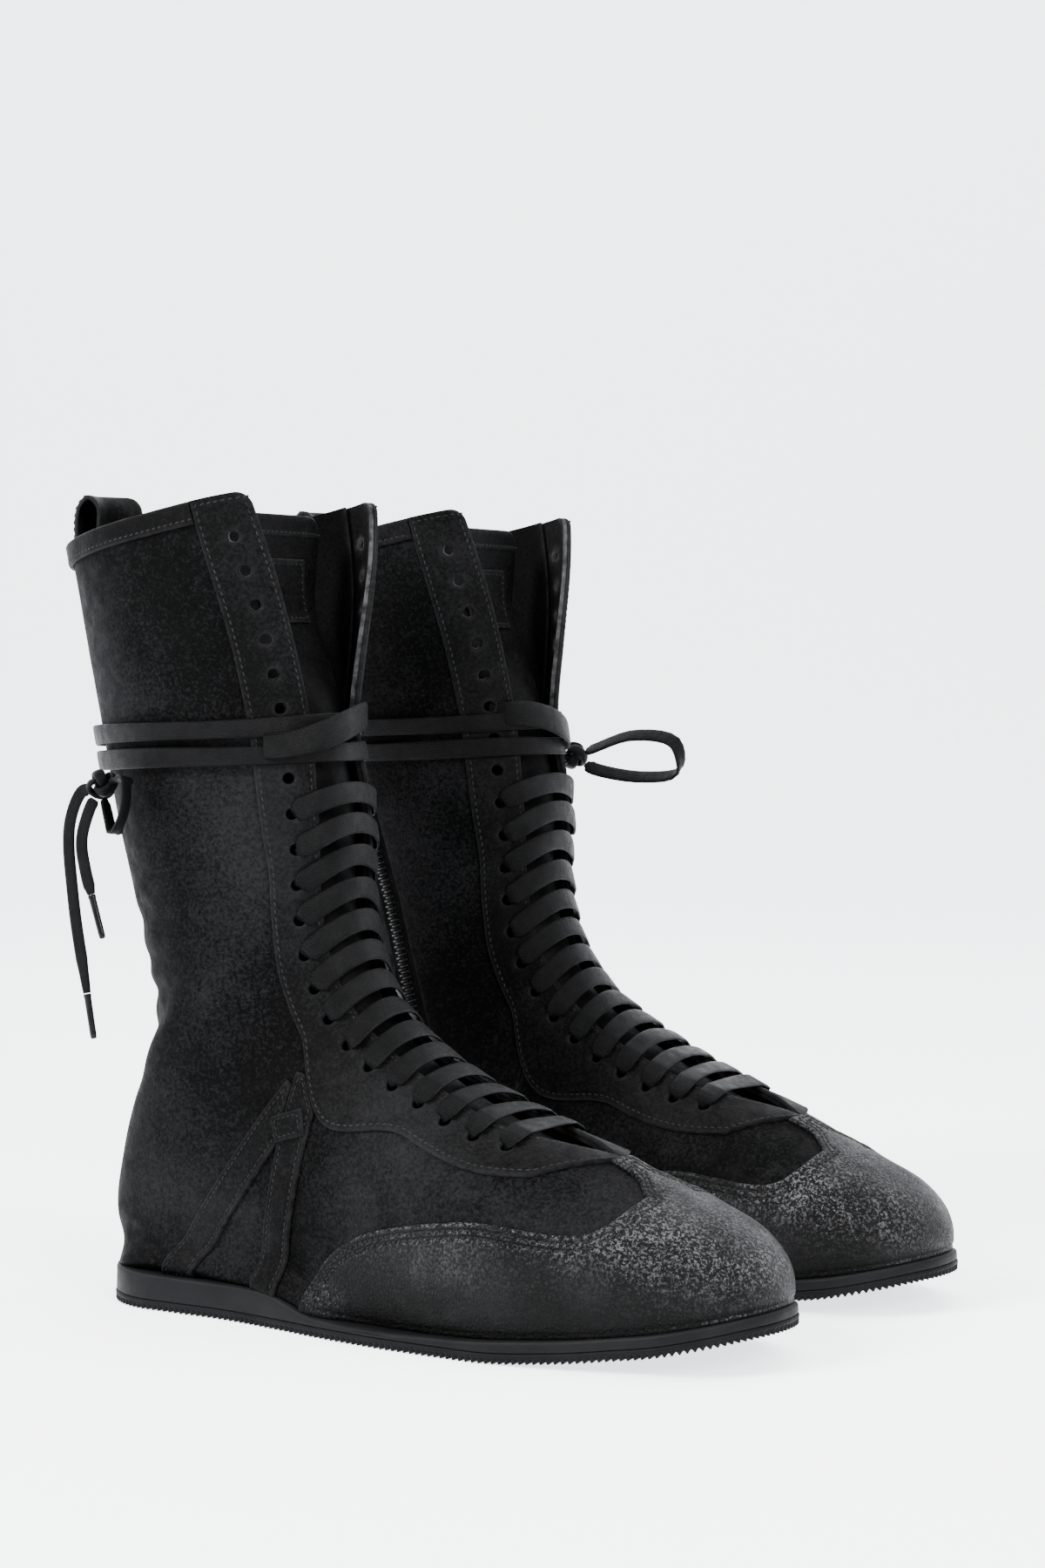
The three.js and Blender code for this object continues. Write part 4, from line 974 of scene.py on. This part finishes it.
def eyelets():
    """Section numbers of the eyelets, even along their own line up each strip."""
    s = np.arange(TIP, LAST, 0.02)
    line = skin(s, throat(s) + EYELET_INSET)[0]
    gone = gone_along(line)
    return np.interp(np.linspace(FIRST_EYELET_FROM_TIP, gone[-1] - TOP_EYELET_BELOW_EDGE, EYELET_COUNT),
                     gone, s)


EYES = eyelets()
EYE_RADIUS = 2.2
STRIP_CORNER = 5.5
above_tip = ROW_S[ROW_S >= TIP]
STRIP_ROWS = np.interp(np.linspace(0, 1, 560), np.linspace(0, 1, len(above_tip)), above_tip)


def strip_field(att, side, front=0.0):
    """Distance inside an eyelet strip's outline, its top front corner rounded and its holes left out."""
    s, d = att[:, SEC], np.abs(att[:, DIS])
    ahead, below = d - throat(s) - front, np.where(s > SHAFT_TOP, top_edge_field(att), 99)
    f = np.minimum(ahead, strip_back(s) - d)
    r = STRIP_CORNER
    f = np.where((ahead < r) & (below < r), np.minimum(f, r - np.hypot(r - ahead, r - below)), f)
    f = np.minimum(f, SECTIONS[LAST, FZ] + 8 - att[:, 2])
    for s_eye in EYES:
        centre, _ = skin(s_eye, side * (throat(s_eye) + EYELET_INSET))
        f = np.minimum(f, np.linalg.norm(att[:, POS] - centre, axis=1) - EYE_RADIUS)
    return f


def strip_part(side, front=0.0):
    part = patch(STRIP_ROWS, lambda s, share: side * (throat(s) + front
                 + (strip_back(s) - throat(s) - front) * share), 40)
    return with_field(part, strip_field(part[0], side, front))


def top_edge_field(att):
    """Distance below the collar edge, along the skin."""
    return (LAST - att[:, SEC]) * TOP_SPAN


def build_boot(side):
    sewn = Stock()

    def put(name, stock, mat, slot, node=None, **more):
        make(stock, f"{side}_{name}", side, mat, slot, node, **more)

    # Upper
    def upper(att):
        return np.minimum(above_sole(att), outside_throat(att))
    stock = Stock()
    shell(stock, part_of(WHOLE, lambda a: np.minimum(upper(a), ahead_of_seam(a))), *UPPER, edge=0.9)
    put("vamp_leather", stock, SUEDE, "suede", "vamp")
    for name, sign in (("outer", -1), ("inner", 1)):
        def quarter(a, sign=sign):
            f = np.minimum(upper(a), -ahead_of_seam(a) - 0.25)
            across = np.where(a[:, SEC] > 5, sign * a[:, DIS], sign * a[:, 1])
            f = np.minimum(f, np.minimum(across, half_length(a[:, SEC], sign) - sign * a[:, DIS]) - 0.05)
            return np.minimum(f, off_zip(a)) if sign > 0 else f
        stock = Stock()
        shell(stock, part_of(WHOLE, quarter), *UPPER, edge=0.8, drop=0.6)
        put(f"quarter_{name}_leather", stock, SUEDE, "suede", f"quarter_{name}")
    stock = Stock()
    shell(stock, part_of(HALF_WHOLE, lambda a: np.minimum(upper(a), off_zip(a))), *LINING, edge=0.5, drop=0.3)
    put("lining_leather", stock, LINER, "lining", "lining")
    for name, f in (
            ("toe_puff", lambda a: a[:, 0] - TOE_PUFF_FROM),
            ("heel_counter", lambda a: np.minimum(COUNTER_LENGTH - a[:, 0], COUNTER_HEIGHT - a[:, 2]))):
        stock = Stock()
        shell(stock, part_of(HALF_WHOLE, lambda a, f=f: np.minimum(np.minimum(upper(a), off_zip(a)), f(a))),
              *STIFFENER, edge=0.5, drop=0.3)
        put(name + "_board", stock, BOARD, "board", name)

    # Toe cap, stitched twice round its edge
    stock = Stock()
    cap = part_of(WHOLE, lambda a: np.minimum(above_sole(a), on_cap(a)))
    att, tris = shell(stock, cap, *OVERLAY, edge=1.3, drop=1.1, groove=(2.8, 5.2))
    put("toe_cap_leather", stock, CAP, "waxed", "toe_cap")
    edge_only = att.copy()
    edge_only[:, FLD] = on_cap(att)
    for level in (2.8, 5.2):
        sew_along(sewn, edge_only, tris, level, OVERLAY[1] - 0.15, over_sole=True, pitch=2.7, long=1.9)

    # Eyelet strips: two plies, punched, stitched along both edges and across the top
    for name, sign in (("outer", -1), ("inner", 1)):
        part = strip_part(sign)
        stock = Stock()
        att, tris = shell(stock, part, *OVERLAY, edge=0.8, drop=0.8)
        put(f"strip_{name}_leather", stock, STRIP, "suede", f"eyelet_strip_{name}")
        stock = Stock()
        shell(stock, strip_part(sign, 0.35), *BACKING, edge=0.5, drop=0.3)
        put(f"strip_{name}_backing", stock, RAW, "suede")
        s, d = part[0][:, SEC], np.abs(part[0][:, DIS])
        back = np.minimum(strip_back(s) - d, np.where(s > SHAFT_TOP, top_edge_field(part[0]), 99))
        front = np.where(s < TIP + 0.9, 99, d - throat(s))
        for level, field in ((2.3, back), (2.2, front)):
            sew_along(sewn, *with_field(part, field), level, OVERLAY[1] - 0.12, 25, pitch=2.9, long=2.1)

    # Collar band round the back between the strips
    low = at_height(SECTIONS[LAST, FZ] - COLLAR_HEIGHT)
    rows = np.linspace(low, LAST, 13)

    def round_back(s, share):
        a, b = strip_back(s) + GAP, half_length(s, -1)
        c, e = half_length(s, 1), strip_back(s) + GAP
        gone = share * ((b - a) + (c - e))
        return np.where(gone <= b - a, -(a + gone), c - (gone - (b - a)))
    part = patch(rows, round_back, 150)
    f = np.minimum((LAST - part[0][:, SEC]), part[0][:, SEC] - low) * TOP_SPAN
    stock = Stock()
    shell(stock, with_field(part, f + 0.02), *OVERLAY, edge=1.0, drop=0.9)
    put("collar_leather", stock, STRIP, "suede", "collar_band")
    sew_along(sewn, *with_field(part, part[0][:, SEC]), low + 1.9 / TOP_SPAN, OVERLAY[1] - 0.12, 25,
              pitch=2.9, long=2.1)

    # Ankle straps and their tab
    def on_outer(a):
        return np.where(a[:, 1] < 0, 99.0, -50.0)

    def clear_of_strip(a):
        return np.where(a[:, DIS] < 0, -a[:, DIS] - strip_back(a[:, SEC]) - 0.2, -50.0)
    straps = (("front", (111, 96), (91, 2)), ("rear", (106, 90), (36, 2)))
    for name, top, foot in straps:
        stock = Stock()

        def strap(a, top=top, foot=foot, name=name):
            f = np.minimum(np.minimum(in_strap(a, top, foot, STRAP_WIDTH), above_sole(a)),
                           np.minimum(on_outer(a), clear_of_strip(a)))
            if name == "rear":
                f = np.minimum(f, -in_strap(a, straps[0][1], straps[0][2], STRAP_WIDTH) - 0.2)
            return f
        att, tris = shell(stock, part_of(WHOLE, strap), *OVERLAY, edge=0.8, drop=0.9, groove=(2.0,))
        put(f"strap_{name}_leather", stock, BAND, "suede", f"ankle_strap_{name}")
        sew_along(sewn, att, tris, 2.0, OVERLAY[1] - 0.15, 15, over_sole=True, pitch=2.6, long=1.8,
                  radius=0.3)

    corners = [(99, 70), (113, 74), (110, 84), (96, 80)]

    def tab(a):
        f = np.full(len(a), 99.0)
        for (x0, z0), (x1, z1) in zip(corners, corners[1:] + corners[:1]):
            long = math.hypot(x1 - x0, z1 - z0)
            f = np.minimum(f, ((x1 - x0) * (a[:, 2] - z0) - (z1 - z0) * (a[:, 0] - x0)) / long)
        return np.minimum(f, on_outer(a))
    stock = Stock()
    att, tris = shell(stock, part_of(WHOLE, tab), *TAB, edge=0.9, drop=1.0, groove=(1.9,))
    put("strap_tab_leather", stock, BAND, "suede", "strap_tab")
    sew_along(sewn, att, tris, 1.9, TAB[1] - 0.15, pitch=2.3, long=1.6, radius=0.3)

    build_tongue(put, sewn)
    build_sole(side, put)
    build_loop(side, put, sewn)
    build_laces(side, put)
    build_zip(side, put)
    put("stitching", sewn, THREAD, "lace")


TONGUE_HALF_WIDTH, TONGUE_FLARE, TONGUE_SET_BACK, TONGUE_TOP_Z = 25, 9, 22, 316.5


def set_back_base(att):
    s = att[:, SEC]
    away = np.stack([channel(KX, s) - channel(FX, s), 0 * s, channel(KZ, s) - channel(FZ, s)], axis=1)
    away /= np.linalg.norm(away, axis=1, keepdims=True)
    return att[:, POS] + away * (TONGUE_SET_BACK * smooth((channel(FZ, s) - 229) / 60))[:, None]


def tongue_half(s):
    return TONGUE_HALF_WIDTH + TONGUE_FLARE * smooth((channel(FZ, s) - 222) / 60)


def build_tongue(put, sewn):
    top = at_height(TONGUE_TOP_Z)
    rows = np.interp(np.linspace(0, 1, 260), np.linspace(0, 1, 1000),
                     np.linspace(THROAT_TIP + 0.75, top, 1000))
    part = patch(rows, lambda s, share: (2 * share - 1) * tongue_half(s), 44)
    att = part[0]
    down = np.where(att[:, SEC] > SHAFT_TOP, (top - att[:, SEC]) * TOP_SPAN, 99)
    side_in = tongue_half(att[:, SEC]) - np.abs(att[:, DIS])
    corner = 14.0
    rounded = np.where((down < corner) & (side_in < corner),
                       corner - np.hypot(corner - down, corner - side_in), np.minimum(down, side_in))
    stock = Stock()
    shell(stock, with_field(part, rounded + 0.01), *TONGUE_PLY, edge=0.7, drop=0.6, base=set_back_base)
    bind = np.where(att[:, SEC] > SHAFT_TOP, np.minimum(rounded, 8.5 - down), -5)
    shell(stock, with_field(part, bind), *TONGUE_BINDING, edge=0.8, drop=0.8, base=set_back_base)
    put("tongue_leather", stock, TONGUE, "lining", "tongue")
    patch_top, patch_low = at_height(TONGUE_TOP_Z - 18), at_height(TONGUE_TOP_Z - 44)
    flap = patch(np.linspace(patch_low, patch_top, 40), lambda s,
                 share: (2 * share - 1) * TONGUE_HALF_WIDTH * 0.6, 30)
    edge = np.minimum(np.minimum(patch_top - flap[0][:, SEC], flap[0][:, SEC] - patch_low) * TOP_SPAN,
                      TONGUE_HALF_WIDTH * 0.6 - np.abs(flap[0][:, DIS]))
    stock = Stock()
    shell(stock, with_field(flap, edge + 0.01), *PATCH_PLY, edge=0.7, drop=0.7, base=set_back_base)
    put("tongue_patch_leather", stock, TONGUE, "lining", "tongue_patch")
    for piece, field, level, off in ((part, down, 7.0, -4.5), (flap, edge, 2.0, -3.7)):
        lined, tris = with_field(piece, field)
        lined[:, POS] = set_back_base(lined)
        sew_along(sewn, lined, tris, level, off, pitch=2.8, long=2.0)


TOOTH_PITCH = 2.75


def sole_outline(pitch):
    """Points round the sole, counter-clockwise from the toe, with outward directions."""
    u = np.linspace(0, 1, 1200)
    x = (1 - np.cos(np.pi * u)) / 2 * BOOT_LENGTH

    def half(table):
        heel = np.where(x < HEEL_RADIUS, np.sqrt(np.clip(1 - ((HEEL_RADIUS - x) / HEEL_RADIUS)**2, 0, 1)), 1)
        start = BOOT_LENGTH - TOE_RADIUS
        toe = np.where(x > start, np.sqrt(np.clip(1 - ((x - start) / TOE_RADIUS)**2, 0, 1)), 1)
        return eased(table, x, 8) * np.minimum(heel, toe)
    mid = eased(MIDDLE, x, 8)
    outer = np.stack([x, mid - half(OUTER_WIDTH)], axis=1)
    inner = np.stack([x, mid + half(INNER_WIDTH)], axis=1)
    ring = np.concatenate([outer, inner[::-1][1:-1]])
    loop = np.vstack([ring, ring[:1]])
    gone = gone_along(loop)
    at = np.linspace(0, gone[-1], int(gone[-1] / pitch) + 1)[:-1]
    ring = np.stack([np.interp(at, gone, loop[:, k]) for k in range(2)], axis=1)
    way = unit(np.roll(ring, -1, axis=0) - np.roll(ring, 1, axis=0))
    return ring, np.stack([way[:, 1], -way[:, 0]], axis=1), at


def build_sole(side, put):
    ring, out, at = sole_outline(0.55)
    count = len(ring)
    tooth = 0.5 + 0.5 * np.cos(2 * np.pi * np.round(at / TOOTH_PITCH * 5) / 5)
    low, high = sole_bottom(ring[:, 0]), sole_top(ring[:, 0])

    def loft(rings, stock, rims):
        points = []
        for inset, z in rings:
            inset = np.broadcast_to(inset, (count,))
            points.append(np.column_stack([ring - out * inset[:, None], np.broadcast_to(z, (count,))]))
        levels = len(points)
        faces = tube_faces(levels, count, capped=False)
        # bottom and top are closed by strips across the sole
        for level, flip in ((0, True), (levels - 1, False)):
            base = level * count
            half = count // 2
            for k in range(half - 1):
                a, b = base + k, base + k + 1
                c, d = base + (count - 1 - k) % count, base + (count - k) % count
                quad = (a, b, c, d) if k else (a, b, c)
                quad = tuple(dict.fromkeys(quad))
                faces.append(quad[::-1] if flip else quad)
            if count % 2 == 0:
                quad = tuple(dict.fromkeys((base + half - 1, base + half, base + (count - half) % count)))
                if len(quad) > 2:
                    faces.append(quad[::-1] if flip else quad)
        rim = np.concatenate([np.full(count, r) for r in rims])
        stock.add(np.concatenate(points), faces, rim=rim)
    split = low + OUTSOLE_THICK
    stock = Stock()
    loft([(7.6, low + 0.9), (7.0, low + 0.1), (6.4, low + 1.3 * tooth), (0.9, low + 1.3 * tooth),
          (0.1 + 1.1 * tooth, low + 1.4 * tooth),
          (0.05 + 1.0 * tooth, low + 1.5), (0.05 + 0.8 * tooth, low + 2.0), (0.1, low + 2.5), (0.0,
                                                                                               low + 3.2),
          (0.25, split - 0.25), (0.7, split - 0.05), (4, split)], stock, [0, 0, 0, 0, .2, .3, .2, 0, 0, .3,
                                                                          .2, 0])
    put("outsole_rubber", stock, TREAD, "rubber", "outsole")
    stock = Stock()
    loft([(4, split + 0.05), (0.75, split + 0.05), (0.45, split + 0.3), (0.35, split + 1.0),
          (0.45, (split + high) / 2), (0.5, high - 1.1), (0.75, high - 0.35), (1.5, high), (6, high - 0.2)],
         stock, [0, .1, .4, 0, 0, 0, .5, .6, 0])
    put("midsole_rubber", stock, SOLE, "rubber", "midsole")
    for node, name, mat, slot in (("insole_board", "insole_board_fibre", BOARD, "board"),
                                  ("sockliner", "sockliner_leather", LINER, "lining")):
        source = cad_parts[f"{side}_{node}"]
        piece = bpy.data.objects.new(f"{side}_{name}", source.data.copy())
        bpy.context.scene.collection.objects.link(piece)
        piece.data.materials.clear()
        piece.data.materials.append(mat)
        bevel = piece.modifiers.new("rounded", "BEVEL")
        bevel.width, bevel.segments, bevel.limit_method, bevel.angle_limit = 0.0005, 2, "ANGLE", 0.9
        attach(piece, side + "_boot")
        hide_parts(f"{side}_{node}")


def build_loop(side, put, sewn):
    back = skin(at_height(SECTIONS[LAST, FZ] - 3), 1e3)[0]
    lean = 0.23
    out_leg, in_leg = -OVERLAY[1] - 1.1 - 0.7, 3 + 1.1 + 0.8
    outline = [(out_leg + 12 * lean, -12), (out_leg, 0), (out_leg - 2, 12.5), (out_leg - 0.4, 21.5),
               ((out_leg + in_leg) / 2, 25), (in_leg + 0.8, 21.5), (in_leg + 1.2, 12.5), (in_leg, 0),
               (in_leg + 12 * lean, -12)]
    line = catmull([(x, 0, z) for x, z in outline], 56)
    way = unit(np.gradient(line, axis=0))
    out = np.stack([-way[:, 2], 0 * way[:, 0], way[:, 0]], axis=1)
    beside = skin(at_height(SECTIONS[LAST, FZ] - 3), 118.0)[0]
    curve = abs(beside[0] - back[0]) / max(abs(beside[1]), 1)
    profile = lens_ring(26.6, 2.2, 40, 7.0)
    y = profile[:, 0]
    bend = curve * y * y / 22
    verts = []
    for i, p in enumerate(line):
        verts.append(np.stack([back[0] + p[0] + bend + out[i, 0] * profile[:, 1], y,
                               back[2] + p[2] + out[i, 2] * profile[:, 1]], axis=1))
    rim = np.tile(smooth((np.abs(profile[:, 0]) - 11.8) / 1.4), len(line))
    stock = Stock()
    stock.add(np.concatenate(verts), tube_faces(len(line), 40), rim=rim)
    put("pull_loop_leather", stock, STRIP, "suede", "pull_loop")
    for y in (-11.3, 11.3):
        path = np.zeros((len(line), 9))
        path[:, 0] = back[0] + line[:, 0] + curve * y * y / 22
        path[:, 1] = y
        path[:, 2] = back[2] + line[:, 2]
        path[:, NRM] = -out if np.dot(out[10], [-1, 0, 0]) < 0 else out
        sew(sewn, path[:34], 1.0, pitch=2.9, long=2.1)


def build_laces(side, put):
    stock = Stock()
    jitter = np.random.default_rng(11 if side == "right" else 23)
    for k, s in enumerate(EYES[:LACED_COUNT]):
        reach = float(throat(s) + EYELET_INSET)
        gap = float(throat(s))
        per = float(np.interp(s, np.arange(LAST), np.diff(KNOTS)))
        tilt = jitter.uniform(-0.6, 0.6) / per
        rise = (1.8 if k == LACED_COUNT - 1 else 0.0) / per
        d = np.concatenate([[-reach + 1.0, -reach + 0.9, -reach + 1.0, -reach + 1.7, -reach + 2.9,
                             -reach + 5.2],
                            np.linspace(-gap - 1, gap + 1, 17),
                            [reach - 5.2, reach - 2.9, reach - 1.7, reach - 1.0, reach - 0.9, reach - 1.0]])
        off = np.concatenate([[-2.4, -0.6, 1.4, 2.75, 3.35, 3.55],
                              3.55 - 1.9 * (1 - np.linspace(-1, 1, 17)**2),
                              [3.55, 3.35, 2.75, 1.4, -0.6, -2.4]])
        wide = np.concatenate([[3.0, 3.2, 4.4, 7.0, 8.6, 8.9],
                               8.9 - 0.3 * (1 - np.linspace(-1, 1, 17)**2) + jitter.uniform(-0.3, 0.3),
                               [8.9, 8.6, 7.0, 4.4, 3.2, 3.0]])
        thick = np.full(len(d), 1.35)
        thick[:4], thick[-4:] = (1.9, 1.9, 1.7, 1.5), (1.5, 1.7, 1.9, 1.9)
        ss = s + tilt * d / reach * 2.2 + rise * (d + reach) / reach * 0.5
        p, n = skin(ss, d)
        roll = jitter.uniform(-0.10, 0.10) + 0.06 * np.sin(d / 6 + k)
        along_strip = unit(skin(ss + 0.05, d)[0] - skin(ss - 0.05, d)[0])
        sweep(stock, p + n * off[:, None], n + along_strip * roll[:, None], wide, thick, 18,
              uv_start=k * 37.0, power=4.5)
        # The run behind each strip up to the next pair of eyelets
        if k + 1 < LACED_COUNT:
            for sign in (-1, 1):
                share = np.linspace(0, 1, 7)
                s_run = s + (EYES[k + 1] - s) * share
                p, n = skin(s_run, sign * (throat(s_run) + EYELET_INSET))
                sweep(stock, p + n * -2.5, n, np.full(7, 4.2), np.full(7, 1.2), count=8)
    put("lace_rows_woven", stock, LACE, "lace", "lace_rows")
    for name, z0, rise, phase in (("lower", 209, 7, 0.0), ("upper", 218, 10, 1.4)):
        count = 220
        q = np.linspace(-1, 1, count, endpoint=False)
        s = np.full(count, float(at_height(z0)))
        for _ in range(12):
            d = np.where(q < 0, q * half_length(s, -1), q * half_length(s, 1))
            p, n = skin(s, d)
            middle = z0 + 4.25 + rise * (p[:, 0] + 60) / 220
            s = s + 0.8 * (middle - p[:, 2]) / 40
        p, n = skin(s, np.where(q < 0, q * half_length(s, -1), q * half_length(s, 1)))
        wave = 0.25 * np.sin(q * 9 + phase)
        wide = 7.6 + 0.5 * np.sin(q * 7 + phase)
        p = p + n * (3.15 + 0.12 * np.sin(q * 13 + phase))[:, None]
        p[:, 2] += wave
        front = np.abs(q) < 0.28
        chord = 1.6 * np.cos(np.clip(q / 0.16, -1, 1) * math.pi / 2)
        p = p - n * (chord * front)[:, None] * 0.6
        stock = Stock()
        sweep(stock, p, n, wide, np.full(count, 1.5), 18, closed=True, power=4.5)
        if name == "upper":
            # The last pass climbs across the open throat from the outer strip to the inner one
            share = np.linspace(0, 1, 40)
            d = -34 + 61 * share
            z = 221 + 12 * smooth((share - 0.05) / 0.8)
            s = np.full(40, float(at_height(225)))
            for _ in range(12):
                p, n = skin(s, d)
                s = s + 0.8 * (z - p[:, 2]) / 40
            p, n = skin(s, d)
            out = 5.0 + 0.5 * np.sin(share * 5) - 4.8 * smooth((share - 0.86) / 0.14) - 1.4 * smooth(0.08 - share)
            fold = 9.0 + 2.2 * np.sin(share * math.pi)
            sweep(stock, p + n * out[:, None], n, fold, np.full(40, 1.5), 18, power=4.5)
        put(f"lace_turn_{name}_woven", stock, LACE, "lace", f"lace_turn_{name}")


ZIP_SINK = 1.0


def build_zip(side, put):
    low, top = np.array(ZIP_LOW, float), np.array(ZIP_TOP, float)
    att = WHOLE[0]
    mask = (att[:, 1] > 5) & (np.abs(polyline_distance(att[:, 0], att[:, 2], [ZIP_LOW, ZIP_TOP])) < 3)
    near = att[mask]
    share_of = ((near[:, 0] - low[0]) * (top[0] - low[0]) + (near[:,
                                                                  2] - low[1]) * (top[1] - low[1])) / np.sum((top - low)**2)
    order = np.argsort(share_of)
    ys = near[order, 1]
    shares = share_of[order]
    nn = near[order][:, NRM]

    def on_skin(t):
        t = np.asarray(t, float)
        weight = np.exp(-((shares[None, :] - t[:, None]) / 0.012)**2) + 1e-9
        weight /= weight.sum(1, keepdims=True)
        y = weight @ ys
        n = unit(weight @ nn)
        xz = low[None, :] + (top - low)[None, :] * t[:, None]
        return np.stack([xz[:, 0], y, xz[:, 1]], axis=1), n

    def sunk(t):
        p, n = on_skin(t)
        return p - n * (ZIP_SINK * smooth((t - 0.80) / 0.08))[:, None], n
    p, n = sunk(np.linspace(0, 0.998, 120))
    stock = Stock()
    sweep(stock, p - n * 1.0, n, np.full(120, ZIP_TAPE_WIDTH + 3.0), np.full(120, 0.9), count=16, power=6)
    put("zip_tape_woven", stock, TAPE, "tape", "zip_tape")
    stock = Stock()
    count = 178
    p, n = sunk(np.linspace(0.014, 0.985, count))
    way = unit(np.gradient(p, axis=0))
    wide = np.cross(n, way)
    for i in range(count):
        sign = 1 if i % 2 else -1
        a = p[i] + wide[i] * sign * 2.6 - n[i] * 0.5
        b = p[i] + wide[i] * sign * 2.2 + n[i] * 0.75
        c = p[i] - wide[i] * sign * 0.9 + n[i] * 0.85
        sweep(stock, np.array([a, b, (b + c) / 2, c, c - n[i] * 0.8]), same(way[i], 5),
              np.full(5, 0.95), np.full(5, 0.95), count=6, power=2.0)
    stop_p, stop_n = on_skin(np.array([0.003, 0.007, 0.012]))
    sweep(stock, stop_p + stop_n * 0.6, stop_n, np.full(3, 6.0), np.array([2.0, 2.4, 2.0]), power=4)
    put("zip_coil", stock, TIP_LOOK, "tape")
    # Slider and puller, in the places of their CAD nodes
    at = 0.965
    p0, n0 = on_skin(np.array([at - 0.02, at - 0.008, at + 0.008, at + 0.02]))
    stock = Stock()
    sweep(stock, p0 + n0 * 1.9, n0, np.array([4.6, 6.6, 8.4, 7.6]), np.array([3.4, 3.8, 3.8, 3.0]),
          count=20, power=4)
    bridge, bn = on_skin(np.array([at - 0.017, at - 0.012, at, at + 0.010, at + 0.014]))
    sweep(stock, bridge + bn * np.array([3.4, 4.9, 5.4, 4.9, 3.4])[:, None], bn, np.full(5, 2.0),
          np.full(5, 0.9), count=10)
    put("zip_slider_body", stock, METAL, "metal", "zip_slider", body=side + "_zip_slider")
    lo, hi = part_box(side + "_zip_puller")
    corners = np.array([[lo.x, lo.y, lo.z], [hi.x, hi.y, hi.z]])
    local = (corners - ORIGIN[side]) / MM
    if side == "left":
        local[:, 1] *= -1
    x0, x1 = sorted(local[:, 0])
    y_mid = local[:, 1].mean()
    z0, z1 = sorted(local[:, 2])
    up = np.array([-0.2528, 0, 0.9675])
    topmost = np.array([(x0 + x1) / 2, y_mid, (z0 + z1) / 2]) + up * 7.7
    down = -up
    stock = Stock()
    side_way = np.array([0.9675, 0, 0.2528])
    out_way = np.array([0.0, 1.0, 0.0])
    rings = []
    for t, w, thick in ((0.0, 1.6, 0.6), (0.6, 2.4, 0.6), (2.2, 2.75, 0.7), (9.0, 2.3, 1.0), (14.0, 2.6, 1.0),
                        (15.1, 2.3, 1.0), (15.7, 1.5, 0.8)):
        c = topmost + down * t
        ring = lens_ring(2 * w, thick, 16, 4.0)
        rings.append(c + ring[:, :1] * side_way + ring[:, 1:] * out_way)
    stock.add(np.concatenate(rings), tube_faces(len(rings), 16))
    put("zip_puller_tag", stock, METAL, "metal", "zip_puller", body=side + "_zip_puller")


for side in SIDES:
    build_boot(side)

# ---- floor, backdrop and light ----
def stage_material():
    mat, tree, bsdf = node_tree("studio_paper")
    n = Nodes(tree)
    n.link(n.mix(n.noise(6, 3), (0.80, 0.815, 0.83), (0.815, 0.83, 0.845)), bsdf.inputs["Base Color"])
    bsdf.inputs["Roughness"].default_value = 0.95
    bsdf.inputs["Specular IOR Level"].default_value = 0.1
    bsdf.inputs["Emission Color"].default_value = (0.92, 0.945, 0.985, 1)
    bsdf.inputs["Emission Strength"].default_value = 2.3
    return mat


def build_stage():
    """A floor that curves up into a backdrop behind the pair, seen along the camera's direction."""
    look = Vector(LOOK).normalized()
    side_way = Vector((-look.y, look.x, 0))
    profile = [(-2.5, 0.0), (0.6, 0.0)]
    profile += [(2.4 + 1.6 * math.sin(a), 1.6 - 1.6 * math.cos(a)) for a in np.linspace(0, math.pi / 2, 24)]
    profile += [(4.0, 6.0)]
    verts, faces = [], []
    for forward, up in profile:
        for across in (-7, 7):
            verts.append(tuple(look * forward + side_way * across + Vector((0, 0, up))))
    for i in range(len(profile) - 1):
        faces.append((2*i, 2*i + 1, 2*i + 3, 2*i + 2))
    mesh = bpy.data.meshes.new("studio")
    mesh.from_pydata(verts, [], faces)
    mesh.shade_smooth()
    mesh.materials.append(stage_material())
    floor = bpy.data.objects.new("studio", mesh)
    bpy.context.scene.collection.objects.link(floor)


build_stage()
world = bpy.data.worlds.new("studio_air")
world.use_nodes = True
world.node_tree.nodes["Background"].inputs["Color"].default_value = (0.93, 0.96, 1.0, 1)
world.node_tree.nodes["Background"].inputs["Strength"].default_value = 0.8
bpy.context.scene.world = world


def softbox(name, at, to, size, power):
    data = bpy.data.lights.new(name, "AREA")
    data.energy, data.shape, data.size, data.size_y = power, "RECTANGLE", size[0], size[1]
    obj = bpy.data.objects.new(name, data)
    obj.location = at
    obj.rotation_euler = (Vector(to) - Vector(at)).to_track_quat("-Z", "Y").to_euler()
    bpy.context.scene.collection.objects.link(obj)


softbox("key", (-0.9, -1.9, 1.7), (0, 0, 0.15), (1.1, 1.1), 190)
softbox("front", (1.9, -0.9, 1.3), (0, 0, 0.1), (0.9, 0.9), 90)
softbox("over", (0.3, 0.3, 2.3), (0, 0, 0.1), (1.8, 1.8), 80)
